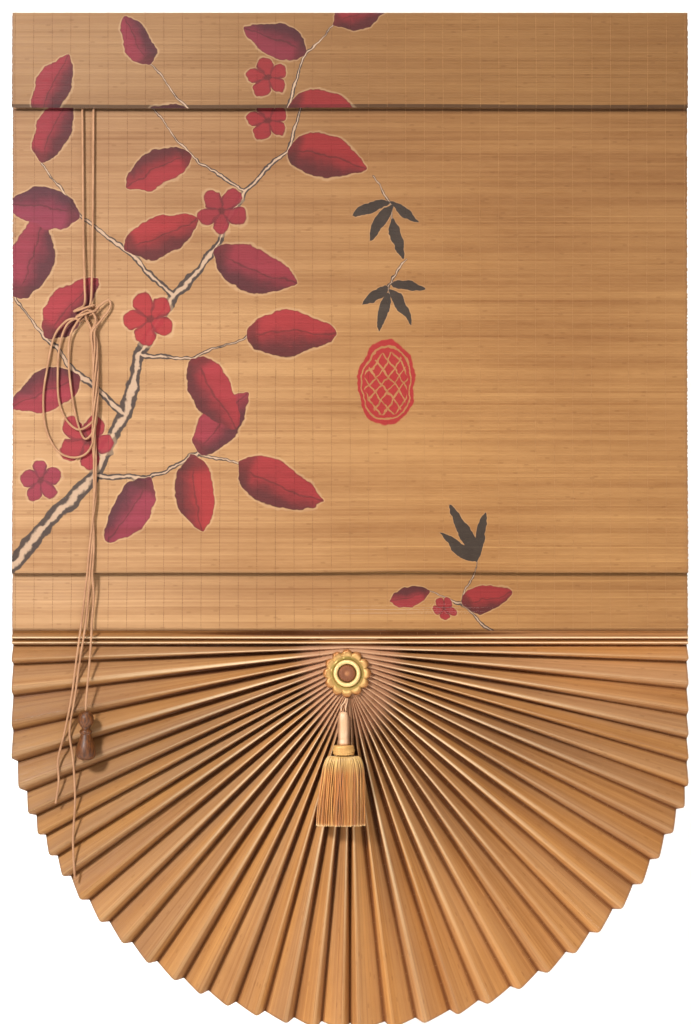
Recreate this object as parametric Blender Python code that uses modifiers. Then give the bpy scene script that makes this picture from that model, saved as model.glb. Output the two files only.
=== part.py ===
"""Bamboo blind with a fan foot.

A full-width panel of split-bamboo cloth hangs in one Roman fold and a short second
tier. Below it the same cloth is pleated and drawn together at its middle, so that it
opens into a half-round fan. A gold rosette with a tassel covers the gathered middle.
A valance strip caps the top edge, and two pull cords with a knotted hank and a
turned knob come out from behind it.

Metres, +Z up. X runs across the blind, the front faces -Y and the wall is the plane
Y = 0. The origin is the middle of the top edge, where the blind is held.
"""

import math
import random
from collections import namedtuple

import bmesh
import bpy
from mathutils import Vector

# ---- driving dimensions ----------------------------------------------------

MM = 0.001
GAP = 0.3 * MM  # left between pieces that touch
WIDTH = 800 * MM
CLOTH = 1.5 * MM  # thickness of the split-bamboo cloth
COLUMNS = 12  # faces across the width of a hanging cloth

VALANCE_DROP = 114 * MM
VALANCE_BEND = 4.5 * MM  # radius of the turned-over top, to the middle of the cloth
VALANCE_FLARE = 2.75 * MM  # how far the lower edge stands out from the upper
VALANCE_BACK = 34 * MM  # height of the turned-over part at the back

PANEL_TOP = -6 * MM
PANEL_Y = -CLOTH - GAP - CLOTH / 2  # middle of the cloth where it hangs straight
FOLD_Z = -664 * MM  # lower edge of the Roman fold
FOLD_Y = -13.4 * MM  # front layer of the fold
FOLD_BEND = 3.2 * MM
FOLD_RETURN = 44 * MM  # height of the layers hidden behind the fold
BACK_BEND = 2.2 * MM
TIER_Z = -732.5 * MM  # lower edge of the second tier
TIER_Y = -11.5 * MM
TIER_BEND = 5.0 * MM
TIER_TAIL = 9 * MM  # short end that turns up behind the tier

FAN_TOP = TIER_Z - GAP
PINCH_TOP = -749 * MM  # first pleat that spreads from the gathered middle
PINCH_HEIGHT = 53 * MM  # the gathered middles lie one under the other over this height
PLEATS = 20  # spreading pleats of one half, from level to straight down
RIM_RADIUS = 419 * MM
RIM_X = 6 * MM
RIM_Z = -784.6 * MM
FAN_CLOTH = 1.2 * MM
FAN_FRONT = -17.5 * MM  # crest of the pleats near the middle
FAN_RIM_FRONT = -15.5 * MM  # crest of the pleats at the rim
FAN_BACK = -0.4 * MM
FAN_DEPTH = 14.5 * MM  # deepest that a pleat goes from crest to valley
FAN_WALL = 13 * MM  # most that steep, packed pleats take from front to back
FAN_UNEVEN = 0.25  # degrees that a pleat's edge strays
HUB_RADIUS = 14 * MM
HUB_FRONT = -16.5 * MM
HUB_BACK = -1.4 * MM
FAN_STATIONS = [14 * MM, 32 * MM, 60 * MM, 115 * MM, 230 * MM]

ROSETTE_X = -3.5 * MM
ROSETTE_Z = -782 * MM
PETALS = 12
PETAL_RADIUS = 28.5 * MM
RING_RADIUS = 13.6 * MM
RING_WIRE = 2.6 * MM
BUTTON_RADIUS = 10.4 * MM

TASSEL_X = -7.5 * MM
NECK_TOP = -827 * MM
NECK_Y = -27.5 * MM
THREAD = 3.0 * MM  # the two strands that carry the tassel, side by side
COLLAR_TOP = -866 * MM
COLLAR_FORWARD = 3.6 * MM  # the collar and the skirt hang in front of the neck
SKIRT_TOP = -878 * MM
SKIRT_BOTTOM = -960 * MM
SKIRT_FORWARD = 4.5 * MM
SKIRT_DEPTH = 0.66  # the skirt lies against the pleats, so it is flatter than wide

CORD = 2.7 * MM
GUIDE_X = -310.3 * MM
GUIDE_Z = -84 * MM  # lower face of the cord guide
GUIDE_SIZE = (36 * MM, 4.4 * MM, 14 * MM)
KNOB_X = -311 * MM
KNOB_Y = -28.4 * MM
KNOB_TOP = -826 * MM

# ---- shared helpers --------------------------------------------------------


def clear_scene():
    for thing in list(bpy.data.objects):
        bpy.data.objects.remove(thing, do_unlink=True)


def new_collection(name):
    collection = bpy.data.collections.new(name)
    bpy.context.scene.collection.children.link(collection)
    return collection


def material(name, colour, roughness, metallic=0.0):
    made = bpy.data.materials.new(name)
    made.use_nodes = True
    shader = made.node_tree.nodes["Principled BSDF"]
    shader.inputs["Base Color"].default_value = (*colour, 1.0)
    shader.inputs["Roughness"].default_value = roughness
    shader.inputs["Metallic"].default_value = metallic
    return made


def add_object(name, data, finish, collection):
    thing = bpy.data.objects.new(name, data)
    data.materials.append(finish)
    collection.objects.link(thing)
    return thing


def mesh_object(name, bm, finish, collection, smooth_angle=40):
    """Turn a finished bmesh into an object, with its normals outwards."""
    bmesh.ops.recalc_face_normals(bm, faces=bm.faces)
    mesh = bpy.data.meshes.new(name)
    bm.to_mesh(mesh)
    bm.free()
    mesh.shade_smooth()
    mesh.set_sharp_from_angle(angle=math.radians(smooth_angle))
    return add_object(name, mesh, finish, collection)


def mix(a, b, share):
    return a + (b - a) * share


def smooth_step(share):
    share = min(1.0, max(0.0, share))
    return share * share * (3 - 2 * share)


def arc(centre_y, centre_z, radius, start, end, steps):
    """Points (y, z) on an arc; angles in degrees, 0 towards +Y and 90 up."""
    points = []
    for i in range(steps + 1):
        angle = math.radians(mix(start, end, i / steps))
        points.append((centre_y + radius * math.cos(angle), centre_z + radius * math.sin(angle)))
    return points


def eased(y0, z0, y1, z1, steps):
    """Points (y, z) of a cloth that swings softly from one plane to another."""
    return [
        (mix(y0, y1, smooth_step(i / steps)), mix(z0, z1, i / steps)) for i in range(steps + 1)
    ]


def smooth_route(points, step):
    """Points about a step apart on a Catmull-Rom curve through the route's own points."""
    ends = [2 * points[0] - points[1], *points, 2 * points[-1] - points[-2]]
    route = []
    for a, b, c, d in zip(ends, ends[1:], ends[2:], ends[3:]):
        count = max(1, round((c - b).length / step))
        for i in range(count):
            t = i / count
            route.append(
                0.5
                * (
                    2 * b
                    + (c - a) * t
                    + (2 * a - 5 * b + 4 * c - d) * t * t
                    + (3 * b - a - 3 * c + d) * t * t * t
                )
            )
    route.append(points[-1])
    return route


def tube(name, route, diameter, finish, collection, widths=None):
    """A cord as a poly spline; widths scale its diameter along the route."""
    curve = bpy.data.curves.new(name, "CURVE")
    curve.dimensions = "3D"
    curve.bevel_depth = diameter / 2
    curve.bevel_resolution = 2
    curve.use_fill_caps = True
    spline = curve.splines.new("POLY")
    spline.points.add(len(route) - 1)
    for i, point in enumerate(route):
        spline.points[i].co = (*point, 1.0)
        if widths:
            place = i / (len(route) - 1) * (len(widths) - 1)
            low = min(int(place), len(widths) - 2)
            spline.points[i].radius = mix(widths[low], widths[low + 1], place - low)
    return add_object(name, curve, finish, collection)


def to_mesh(thing, finish, collection):
    """Replace a curve object by a welded mesh object of the same name."""
    graph = bpy.context.evaluated_depsgraph_get()
    mesh = bpy.data.meshes.new_from_object(thing.evaluated_get(graph))
    bm = bmesh.new()
    bm.from_mesh(mesh)
    bmesh.ops.remove_doubles(bm, verts=bm.verts, dist=0.01 * MM)
    bm.to_mesh(mesh)
    bm.free()
    name, place = thing.name, thing.matrix_world.copy()
    bpy.data.objects.remove(thing, do_unlink=True)
    mesh.materials.clear()
    made = add_object(name, mesh, finish, collection)
    made.matrix_world = place
    return made


def turned(name, profile, centre, finish, collection, steps=32):
    """A turned piece: the profile (radius, height) runs down its outer side."""
    bm = bmesh.new()
    verts = [bm.verts.new((r, 0.0, z)) for r, z in profile]
    for a, b in zip(verts, verts[1:]):
        bm.edges.new((a, b))
    mesh = bpy.data.meshes.new(name)
    bm.to_mesh(mesh)
    bm.free()
    thing = add_object(name, mesh, finish, collection)
    thing.location = centre
    screw = thing.modifiers.new("turn", "SCREW")
    screw.steps = steps
    screw.render_steps = steps
    screw.use_merge_vertices = True
    screw.merge_threshold = 0.00001
    screw.use_smooth_shade = True
    return thing


def union(base, others):
    """Join closed bodies into one with Booleans, then drop the joined ones."""
    for other in others:
        join = base.modifiers.new("join", "BOOLEAN")
        join.operation = "UNION"
        join.solver = "EXACT"
        join.object = other
    graph = bpy.context.evaluated_depsgraph_get()
    mesh = bpy.data.meshes.new_from_object(base.evaluated_get(graph))
    base.modifiers.clear()
    base.data = mesh
    for other in others:
        bpy.data.objects.remove(other, do_unlink=True)
    return base


def hang_cloth(name, section, sway, finish, collection):
    """A hanging cloth: its section (y, z) swept across the width, then thickened.

    sway(x, z) gives how far the cloth strays in y and z at a place.
    """
    bm = bmesh.new()
    rows = []
    for i in range(COLUMNS + 1):
        x = mix(-WIDTH / 2, WIDTH / 2, i / COLUMNS)
        row = []
        for y, z in section:
            dy, dz = sway(x, z)
            row.append(bm.verts.new((x, y + dy, z + dz)))
        rows.append(row)
    for left, right in zip(rows, rows[1:]):
        for k in range(len(section) - 1):
            bm.faces.new((left[k], left[k + 1], right[k + 1], right[k]))
    thing = mesh_object(name, bm, finish, collection)
    wall = thing.modifiers.new("thickness", "SOLIDIFY")
    wall.thickness = CLOTH
    wall.offset = 0.0
    wall.use_even_offset = True
    return thing


# ---- hanging cloths --------------------------------------------------------


def valance_section():
    """Up the back, over the top and down the front."""
    back_y = -CLOTH / 2
    bend_y = back_y - VALANCE_BEND
    bend_z = -CLOTH / 2 - VALANCE_BEND
    front_y = bend_y - VALANCE_BEND
    section = [(back_y, -VALANCE_BACK)]
    section += arc(bend_y, bend_z, VALANCE_BEND, 0, 180, 8)
    section += eased(front_y, bend_z - 8 * MM, front_y - VALANCE_FLARE, -VALANCE_DROP, 6)
    return section


def valance_sway(x, z):
    loose = smooth_step(-z / VALANCE_DROP) if z < -40 * MM else 0.0
    return (
        -0.5 * MM * loose * math.sin(9.0 * x + 0.6),
        0.5 * MM * loose * math.sin(13.0 * x + 1.1),
    )


def panel_section():
    """Down the front layer, up behind the fold, down the second tier, up its tail."""
    bend_z = FOLD_Z + CLOTH / 2 + FOLD_BEND
    return_y = FOLD_Y + 2 * FOLD_BEND
    back_bend_z = bend_z + FOLD_RETURN
    tier_top_y = return_y + 2 * BACK_BEND
    tail_y = TIER_Y + 2 * TIER_BEND
    tier_bend_z = TIER_Z + CLOTH / 2 + TIER_BEND
    section = [(PANEL_Y, PANEL_TOP), (PANEL_Y, -240 * MM)]
    section += eased(PANEL_Y, -440 * MM, FOLD_Y, bend_z + 12 * MM, 9)
    section += arc(FOLD_Y + FOLD_BEND, bend_z, FOLD_BEND, 180, 360, 7)
    section += arc(return_y + BACK_BEND, back_bend_z, BACK_BEND, 180, 0, 6)
    section += eased(tier_top_y, bend_z + 8 * MM, TIER_Y, tier_bend_z + 14 * MM, 7)
    section += arc(TIER_Y + TIER_BEND, tier_bend_z, TIER_BEND, 180, 360, 9)
    section += [(tail_y, tier_bend_z + TIER_TAIL)]
    return section


def panel_sway(x, z):
    """The fold's lower edge wanders by about a millimetre, as stiff cloth does."""
    near_fold = smooth_step((-z - 500 * MM) / (140 * MM))
    below = 1.0 - smooth_step((-z - 690 * MM) / (30 * MM))
    wander = 0.8 * math.sin(8.2 * x + 0.9) + 0.5 * math.sin(21.0 * x)
    return (0.0, wander * MM * near_fold * below)


# ---- fan -------------------------------------------------------------------

# A line of the fan's cloth, from the gathered middle out to a side: the height of its
# middle, its angle below level, how far it stands from valley (0) to crest (1), and
# how far its end stays inside the rim.
Line = namedtuple("Line", "middle angle level trim")
SIDE_TRIM = 0.15  # the ends are cut closer where they meet the straight sides

# Level pleats above the spreading ones: height of the line, and its level.
LEVEL_PLEATS = [
    (FAN_TOP, 0.32),
    (-736.0 * MM, 0.10),
    (-740.3 * MM, 0.85),
    (-743.0 * MM, 0.05),
    (-746.2 * MM, 0.85),
]

# One spreading pleat: a wide flat face up to its crest, then a narrow return.
PleatPoint = namedtuple("PleatPoint", "share level trim")
PLEAT = [
    PleatPoint(0.00, 0.00, 6.5 * MM),
    PleatPoint(0.38, 0.54, 3.2 * MM),
    PleatPoint(0.69, 0.96, 0.5 * MM),
    PleatPoint(0.76, 1.00, 0.0 * MM),
    PleatPoint(0.83, 0.86, 1.0 * MM),
]

# How the pleats of one half spread: the angle at which they are drawn tightest, over
# how many degrees, by what share, how much wider the lowest ones are, and a seed for
# how they stray.
Gather = namedtuple("Gather", "tightest spread squeeze ease seed")
LEFT_GATHER = Gather(29.0, 10.0, 0.35, 0.0, 7)
RIGHT_GATHER = Gather(22.0, 14.0, 0.30, 0.4, 12)
FIRST_PLEAT = 0.55  # share of a pleat's width: the first is half under the level ones


def pleat_edges(gather):
    """Angles below level of the valleys between the spreading pleats of one half."""
    edges = [0.0]
    for k in range(PLEATS):
        angle = 90.0 * k / PLEATS
        pinch = math.exp(-(((angle - gather.tightest) / gather.spread) ** 2))
        width = (1.0 + gather.ease * angle / 90.0) * (1.0 - gather.squeeze * pinch)
        edges.append(edges[-1] + width * (FIRST_PLEAT if k == 0 else 1.0))
    return [90.0 * edge / edges[-1] for edge in edges]


def fan_lines(gather):
    """The lines of one half, from the top edge to straight down."""
    stray = random.Random(gather.seed)
    lines = [Line(z, 0.0, level, 0.0) for z, level in LEVEL_PLEATS]
    edges = pleat_edges(gather)
    for k in range(1, PLEATS):
        edges[k] += stray.uniform(-FAN_UNEVEN, FAN_UNEVEN)
    for k in range(PLEATS):
        height = stray.uniform(0.92, 1.0)
        for point in PLEAT:
            plain = math.radians(90.0 * (k + point.share) / PLEATS)
            angle = math.radians(mix(edges[k], edges[k + 1], point.share))
            middle = PINCH_TOP - PINCH_HEIGHT * math.sin(plain)
            lines.append(Line(middle, angle, point.level * height, point.trim))
    lines.append(Line(PINCH_TOP - PINCH_HEIGHT, math.radians(90), 0.0, PLEAT[0].trim))
    return lines


def reach(line, side):
    """Length of a line from the middle to the round rim or the straight side."""
    across, down = side * math.cos(line.angle), -math.sin(line.angle)
    from_x, from_z = -RIM_X, line.middle - RIM_Z
    along = from_x * across + from_z * down
    apart = from_x * from_x + from_z * from_z - RIM_RADIUS * RIM_RADIUS
    to_rim = -along + math.sqrt(along * along - apart)
    to_side = WIDTH / 2 / abs(across) if abs(across) > 0.01 else math.inf
    return min(to_rim - line.trim, to_side - line.trim * SIDE_TRIM)


def fan_wall(radius, angle):
    """Depth of cloth, front to back: steep, packed pleats near the middle take more."""
    pitch = (radius + PINCH_HEIGHT * math.cos(angle) ** 2) * math.radians(90 / PLEATS)
    steepness = FAN_DEPTH / max(0.4 * pitch, 0.1 * MM)
    return min(FAN_CLOTH * math.sqrt(1 + steepness * steepness), FAN_WALL)


def fan_depths(line, radius, span):
    """Front and back of the cloth on a line, at a distance from the middle."""
    if radius <= HUB_RADIUS:
        return HUB_FRONT, HUB_BACK
    wall = fan_wall(radius, line.angle)
    crest = mix(FAN_FRONT, FAN_RIM_FRONT, smooth_step(radius / span))
    valley = max(crest, min(FAN_BACK - wall, crest + FAN_DEPTH))
    front = mix(valley, crest, line.level)
    return front, min(front + wall, FAN_BACK)


def fan_half(bm, side):
    """Front and back grids of one half, and the strip that closes its rim."""
    lines = fan_lines(LEFT_GATHER if side < 0 else RIGHT_GATHER)
    fronts, backs = [], []
    for line in lines:
        span = reach(line, side)
        row = [0.0, *FAN_STATIONS, span]
        front_row, back_row = [], []
        for radius in row:
            x = side * radius * math.cos(line.angle)
            z = line.middle - radius * math.sin(line.angle)
            front, back = fan_depths(line, radius, span)
            front_row.append(bm.verts.new((x, front, z)))
            back_row.append(bm.verts.new((x, back, z)))
        fronts.append(front_row)
        backs.append(back_row)
    for a, b, c, d in zip(fronts, fronts[1:], backs, backs[1:]):
        for k in range(len(a) - 1):
            bm.faces.new((a[k], a[k + 1], b[k + 1], b[k]))
            bm.faces.new((c[k], d[k], d[k + 1], c[k + 1]))
        bm.faces.new((a[-1], c[-1], d[-1], b[-1]))
    top_front, top_back = fronts[0], backs[0]
    for k in range(len(top_front) - 1):
        bm.faces.new((top_front[k], top_back[k], top_back[k + 1], top_front[k + 1]))


def build_fan(finish, collection):
    """Both halves, joined down the gathered middle and below it."""
    bm = bmesh.new()
    for side in (-1, 1):
        fan_half(bm, side)
    bmesh.ops.remove_doubles(bm, verts=bm.verts, dist=0.01 * MM)
    return mesh_object("fan", bm, finish, collection, smooth_angle=25)


# ---- rosette and tassel ----------------------------------------------------


def round_loft(name, rings, centre, finish, collection, lobes=0, depth=0.0, steps=60):
    """A round relief facing the front: rings (radius, y, share of the scallop)."""
    bm = bmesh.new()
    made = []
    for radius, y, scallop in rings:
        ring = []
        for k in range(steps):
            angle = 2 * math.pi * k / steps
            edge = abs(math.cos(lobes * angle / 2)) if lobes else 1.0
            length = radius - depth * scallop * (1 - edge)
            ring.append(bm.verts.new((length * math.cos(angle), y, length * math.sin(angle))))
        made.append(ring)
    for a, b in zip(made, made[1:]):
        for k in range(steps):
            n = (k + 1) % steps
            bm.faces.new((a[k], a[n], b[n], b[k]))
    bm.faces.new(made[0])
    bm.faces.new(list(reversed(made[-1])))
    thing = mesh_object(name, bm, finish, collection)
    thing.location = centre
    return thing


def build_rosette(finishes, collection):
    back = FAN_FRONT - GAP
    petal_rings = [
        (24.0 * MM, back, 0.8),
        (PETAL_RADIUS - 0.6 * MM, back - 0.8 * MM, 1.0),
        (PETAL_RADIUS, back - 2.0 * MM, 1.0),
        (PETAL_RADIUS - 1.4 * MM, back - 3.8 * MM, 1.0),
        (23.5 * MM, back - 4.6 * MM, 0.7),
        (19.5 * MM, back - 3.4 * MM, 0.3),
        (17.5 * MM, back - 3.0 * MM, 0.0),
    ]
    round_loft(
        "rosette_petals",
        petal_rings,
        (ROSETTE_X, 0.0, ROSETTE_Z),
        finishes["gold_braid"],
        collection,
        lobes=PETALS,
        depth=4.0 * MM,
    )
    ring_y = back - 3.0 * MM - GAP - RING_WIRE
    bpy.ops.mesh.primitive_torus_add(
        major_radius=RING_RADIUS,
        minor_radius=RING_WIRE,
        major_segments=36,
        minor_segments=10,
        location=(ROSETTE_X, ring_y, ROSETTE_Z),
        rotation=(math.radians(90), 0.0, 0.0),
    )
    ring = bpy.context.object
    ring.name = "rosette_ring"
    ring.data.materials.append(finishes["gold_ring"])
    ring.data.shade_smooth()
    for holder in list(ring.users_collection):
        holder.objects.unlink(ring)
    collection.objects.link(ring)
    button_back = back - 3.0 * MM - GAP
    button_rings = [
        (BUTTON_RADIUS - 1.6 * MM, button_back, 0.0),
        (BUTTON_RADIUS - 1.0 * MM, button_back - 0.6 * MM, 0.0),
        (BUTTON_RADIUS - 0.9 * MM, button_back - 1.6 * MM, 0.0),
        (BUTTON_RADIUS - 2.2 * MM, button_back - 3.2 * MM, 0.0),
        (4.0 * MM, button_back - 4.1 * MM, 0.0),
        (1.5 * MM, button_back - 4.3 * MM, 0.0),
    ]
    round_loft(
        "rosette_button",
        button_rings,
        (ROSETTE_X, 0.0, ROSETTE_Z),
        finishes["button_cloth"],
        collection,
        steps=28,
    )


# Turned outlines, as radius and height below the piece's top.
NECK = [
    (0.0, 0.0),
    (2.6 * MM, 0.0),
    (4.6 * MM, -1.6 * MM),
    (5.6 * MM, -5.0 * MM),
    (6.9 * MM, -11.0 * MM),
    (7.4 * MM, -18.0 * MM),
    (6.9 * MM, -26.0 * MM),
    (6.6 * MM, -33.0 * MM),
    (7.6 * MM, -38.7 * MM),
    (0.0, -38.7 * MM),
]
COLLAR = [
    (0.0, 0.0),
    (10.4 * MM, 0.0),
    (12.4 * MM, -2.0 * MM),
    (13.0 * MM, -5.6 * MM),
    (12.4 * MM, -9.4 * MM),
    (10.6 * MM, -11.7 * MM),
    (0.0, -11.7 * MM),
]
KNOB = [
    (0.0, 0.0),
    (3.2 * MM, 0.0),
    (6.8 * MM, -2.4 * MM),
    (9.0 * MM, -7.0 * MM),
    (9.2 * MM, -11.0 * MM),
    (7.6 * MM, -15.6 * MM),
    (5.6 * MM, -18.6 * MM),
    (5.4 * MM, -21.6 * MM),
    (7.0 * MM, -24.0 * MM),
    (7.2 * MM, -26.4 * MM),
    (6.6 * MM, -28.4 * MM),
    (8.4 * MM, -34.0 * MM),
    (10.8 * MM, -42.0 * MM),
    (11.8 * MM, -48.0 * MM),
    (11.4 * MM, -52.4 * MM),
    (8.4 * MM, -56.4 * MM),
    (4.0 * MM, -57.8 * MM),
    (0.0, -58.0 * MM),
]

SKIRT_RINGS = [4.4 * MM, 8.0 * MM, 11.4 * MM, 14.4 * MM]
SKIRT_SPOKES = 26
SKIRT_ROOT = 6 * MM  # height of the solid root that the strands grow from
SKIRT_FLARE = 1.3  # the root widens to this, downwards
SKIRT_LEAN = -1.6 * MM  # the strands' ends lie a little to the left
# A strand on its way down: share of its length, and how far it has spread.
SKIRT_SPREAD = [(0.12, 1.26), (0.42, 1.50), (1.0, 1.53)]


def build_skirt(finish, collection):
    """A root disc whose lower faces are drawn down into separate strands."""
    bm = bmesh.new()
    levels = []
    for height in (0.0, -SKIRT_ROOT):
        rings = []
        for radius in SKIRT_RINGS:
            wide = radius * (1.0 if height == 0.0 else SKIRT_FLARE)
            ring = []
            for k in range(SKIRT_SPOKES):
                angle = 2 * math.pi * k / SKIRT_SPOKES
                ring.append(
                    bm.verts.new(
                        (wide * math.cos(angle), wide * math.sin(angle) * SKIRT_DEPTH, height)
                    )
                )
            rings.append(ring)
        levels.append(rings)
    upper, lower = levels
    roots = []
    for rings in levels:
        for a, b in zip(rings, rings[1:]):
            for k in range(SKIRT_SPOKES):
                n = (k + 1) % SKIRT_SPOKES
                face = bm.faces.new((a[k], a[n], b[n], b[k]))
                if rings is lower:
                    roots.append(face)
        bm.faces.new(rings[0])
    for k in range(SKIRT_SPOKES):
        n = (k + 1) % SKIRT_SPOKES
        bm.faces.new((upper[-1][k], upper[-1][n], lower[-1][n], lower[-1][k]))
    bmesh.ops.recalc_face_normals(bm, faces=bm.faces)
    bmesh.ops.inset_individual(bm, faces=roots, thickness=0.22 * MM)
    stray = random.Random(3)
    length = SKIRT_TOP - SKIRT_BOTTOM - SKIRT_ROOT
    tips = roots
    starts = [face.calc_center_median() for face in roots]
    spans = [length * stray.uniform(0.95, 1.0) for _ in roots]
    for drop, spread in SKIRT_SPREAD:
        tips = bmesh.ops.extrude_discrete_faces(bm, faces=tips)["faces"]
        for face, start, span in zip(tips, starts, spans):
            middle = face.calc_center_median()
            across = start.x * spread + SKIRT_LEAN * drop
            goal = Vector((across, start.y * 1.05, -SKIRT_ROOT - span * drop))
            for vert in face.verts:
                vert.co += goal - middle
    thing = mesh_object("tassel_skirt", bm, finish, collection, smooth_angle=30)
    thing.location = (TASSEL_X, NECK_Y - SKIRT_FORWARD, SKIRT_TOP)
    return thing


def build_tassel(finishes, collection):
    turned("tassel_neck", NECK, (TASSEL_X, NECK_Y, NECK_TOP), finishes["satin_thread"], collection)
    collar = (TASSEL_X, NECK_Y - COLLAR_FORWARD, COLLAR_TOP)
    turned("tassel_collar", COLLAR, collar, finishes["gold_braid"], collection)
    build_skirt(finishes["gold_strand"], collection)
    rosette_foot = ROSETTE_Z - PETAL_RADIUS
    route = [
        Vector((ROSETTE_X, -20.2 * MM, rosette_foot - GAP)),
        Vector((ROSETTE_X - 1.4 * MM, -21.6 * MM, rosette_foot - 5 * MM)),
        Vector((TASSEL_X + 0.6 * MM, NECK_Y + 1.2 * MM, NECK_TOP + 7 * MM)),
        Vector((TASSEL_X, NECK_Y, NECK_TOP + 3 * MM)),
        Vector((TASSEL_X, NECK_Y, NECK_TOP + GAP)),
    ]
    tube("tassel_thread", smooth_route(route, 4 * MM), THREAD, finishes["satin_thread"], collection)


# ---- cords -----------------------------------------------------------------


def places(*points):
    """Points given in millimetres as (x, y, z)."""
    return [Vector(point) * MM for point in points]


TOP_LEFT = places(
    (-317, -6.7, -84.3),
    (-316.6, -6.7, -130),
    (-316, -7.1, -200),
    (-315.4, -7.7, -270),
    (-314, -8.9, -322),
    (-313.4, -9.7, -340.7),
)
TOP_RIGHT = places(
    (-303.5, -6.7, -84.3),
    (-303.6, -6.7, -130),
    (-304, -7.1, -200),
    (-304.6, -7.7, -270),
    (-305.6, -8.9, -322),
    (-306.4, -9.7, -340.7),
)
BUNDLE = places(
    (-310, -10.2, -356),
    (-305, -9.8, -372),
    (-301.4, -8.8, -400),
    (-300.8, -8.8, -440),
    (-301.4, -10.4, -490),
    (-302.8, -12.4, -530),
    (-302.4, -15.0, -570),
    (-303.4, -17.4, -620),
    (-306, -18.3, -650),
    (-307.2, -18.5, -664),
)
OUTER_LOOP = places(
    (-318, -10.2, -364),
    (-336, -8.6, -366),
    (-350, -7.4, -384),
    (-358, -6.8, -420),
    (-363, -6.6, -456),
    (-360, -8.2, -492),
    (-347, -9.8, -518),
    (-330, -10.4, -527),
    (-314, -10.6, -524),
    (-304, -10.8, -500),
)
INNER_LOOP = places(
    (-322, -10.6, -366),
    (-331, -9.6, -384),
    (-333, -8.2, -412),
    (-330, -7.6, -446),
    (-324, -7.8, -480),
    (-315, -9.2, -506),
    (-305, -10.0, -492),
)
MIDDLE_LOOP = places(
    (-322, -10.0, -362),
    (-336, -9.0, -372),
    (-344, -7.6, -398),
    (-346, -7.0, -436),
    (-344, -7.2, -462),
    (-336, -7.8, -482),
    (-322, -9.2, -494),
    (-308, -10.2, -488),
)
BACK_LOOP = places(
    (-304, -10.4, -356),
    (-294, -9.6, -346),
    (-285, -8.4, -341),
    (-287, -7.6, -350),
    (-296, -8.8, -362),
    (-304, -9.8, -370),
)
TO_KNOB = places(
    (-304.2, -18.5, -664.3),
    (-302.6, -18.5, -690),
    (-304.6, -18.7, -722),
    (-306, -19.9, -750),
    (-308.6, -23.3, -786),
    (-311, -27.6, -816),
    (-311, -28.4, -825.7),
)
TAIL_LONG = places(
    (-307.2, -18.5, -664.3),
    (-308.6, -18.5, -690),
    (-313, -18.3, -730),
    (-318.6, -18.1, -765),
    (-325, -17.9, -812),
    (-331, -17.9, -850),
    (-327, -17.9, -884),
    (-324.6, -17.9, -930),
    (-327, -17.7, -980),
    (-325, -17.5, -1024),
)
TAIL_SHORT = places(
    (-310.2, -18.5, -664.3),
    (-313.2, -18.5, -690),
    (-318, -18.3, -730),
    (-322.8, -18.1, -765),
    (-329, -17.9, -812),
    (-337, -17.9, -852),
    (-344.6, -17.9, -884),
    (-344, -17.7, -910),
    (-347.6, -17.7, -936),
)


# The closed body of the knotted hank: each run's route, its diameter, the distance
# between its points, and how its width changes along it.
Run = namedtuple("Run", "name route diameter step widths")
BUNDLE_WIDTHS = [1.2, 1.4, 1.4, 1.4, 1.35, 1.2, 1.0, 1.0, 1.0, 1.0]
HANK = [
    Run("cord_hank", BUNDLE, 6.4 * MM, 14 * MM, BUNDLE_WIDTHS),
    Run("outer_loop", OUTER_LOOP, 3.6 * MM, 10 * MM, None),
    Run("middle_loop", MIDDLE_LOOP, 2.9 * MM, 10 * MM, None),
    Run("inner_loop", INNER_LOOP, 3.0 * MM, 10 * MM, None),
    Run("back_loop", BACK_LOOP, 2.7 * MM, 5 * MM, None),
]
KNOT_PLACE = Vector((-312.6, -10.4, -354.6)) * MM
KNOT_SIZE = Vector((34, 12, 24)) * MM
KNOT_TURN = math.radians(-24)


def build_hank(finish, collection):
    """The knot, its loops of spare cord and the bundle below it, as one body."""
    solids = []
    for run in HANK:
        route = smooth_route(run.route, run.step)
        part = tube(run.name, route, run.diameter, finish, collection, run.widths)
        solids.append(to_mesh(part, finish, collection))
    bpy.ops.mesh.primitive_uv_sphere_add(segments=14, ring_count=8, radius=1.0)
    knot = bpy.context.object
    knot.name = "knot"
    for vert in knot.data.vertices:
        vert.co = Vector([a * b for a, b in zip(vert.co, KNOT_SIZE / 2)])
    knot.location = KNOT_PLACE
    knot.rotation_euler.y = KNOT_TURN
    hank = union(solids[0], [*solids[1:], knot])
    hank.data.materials.clear()
    hank.data.materials.append(finish)
    return hank


def build_cords(finishes, collection):
    cord = finishes["cord"]
    routes = [
        ("pull_cord_top_left", TOP_LEFT, 15),
        ("pull_cord_top_right", TOP_RIGHT, 15),
        ("pull_cord_to_knob", TO_KNOB, 9),
        ("pull_cord_tail_long", TAIL_LONG, 12),
        ("pull_cord_tail_short", TAIL_SHORT, 12),
    ]
    for name, route, step in routes:
        tube(name, smooth_route(route, step * MM), CORD, cord, collection)
    build_hank(cord, collection)
    turned("cord_knob", KNOB, (KNOB_X, KNOB_Y, KNOB_TOP), finishes["turned_wood"], collection, 24)


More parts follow.
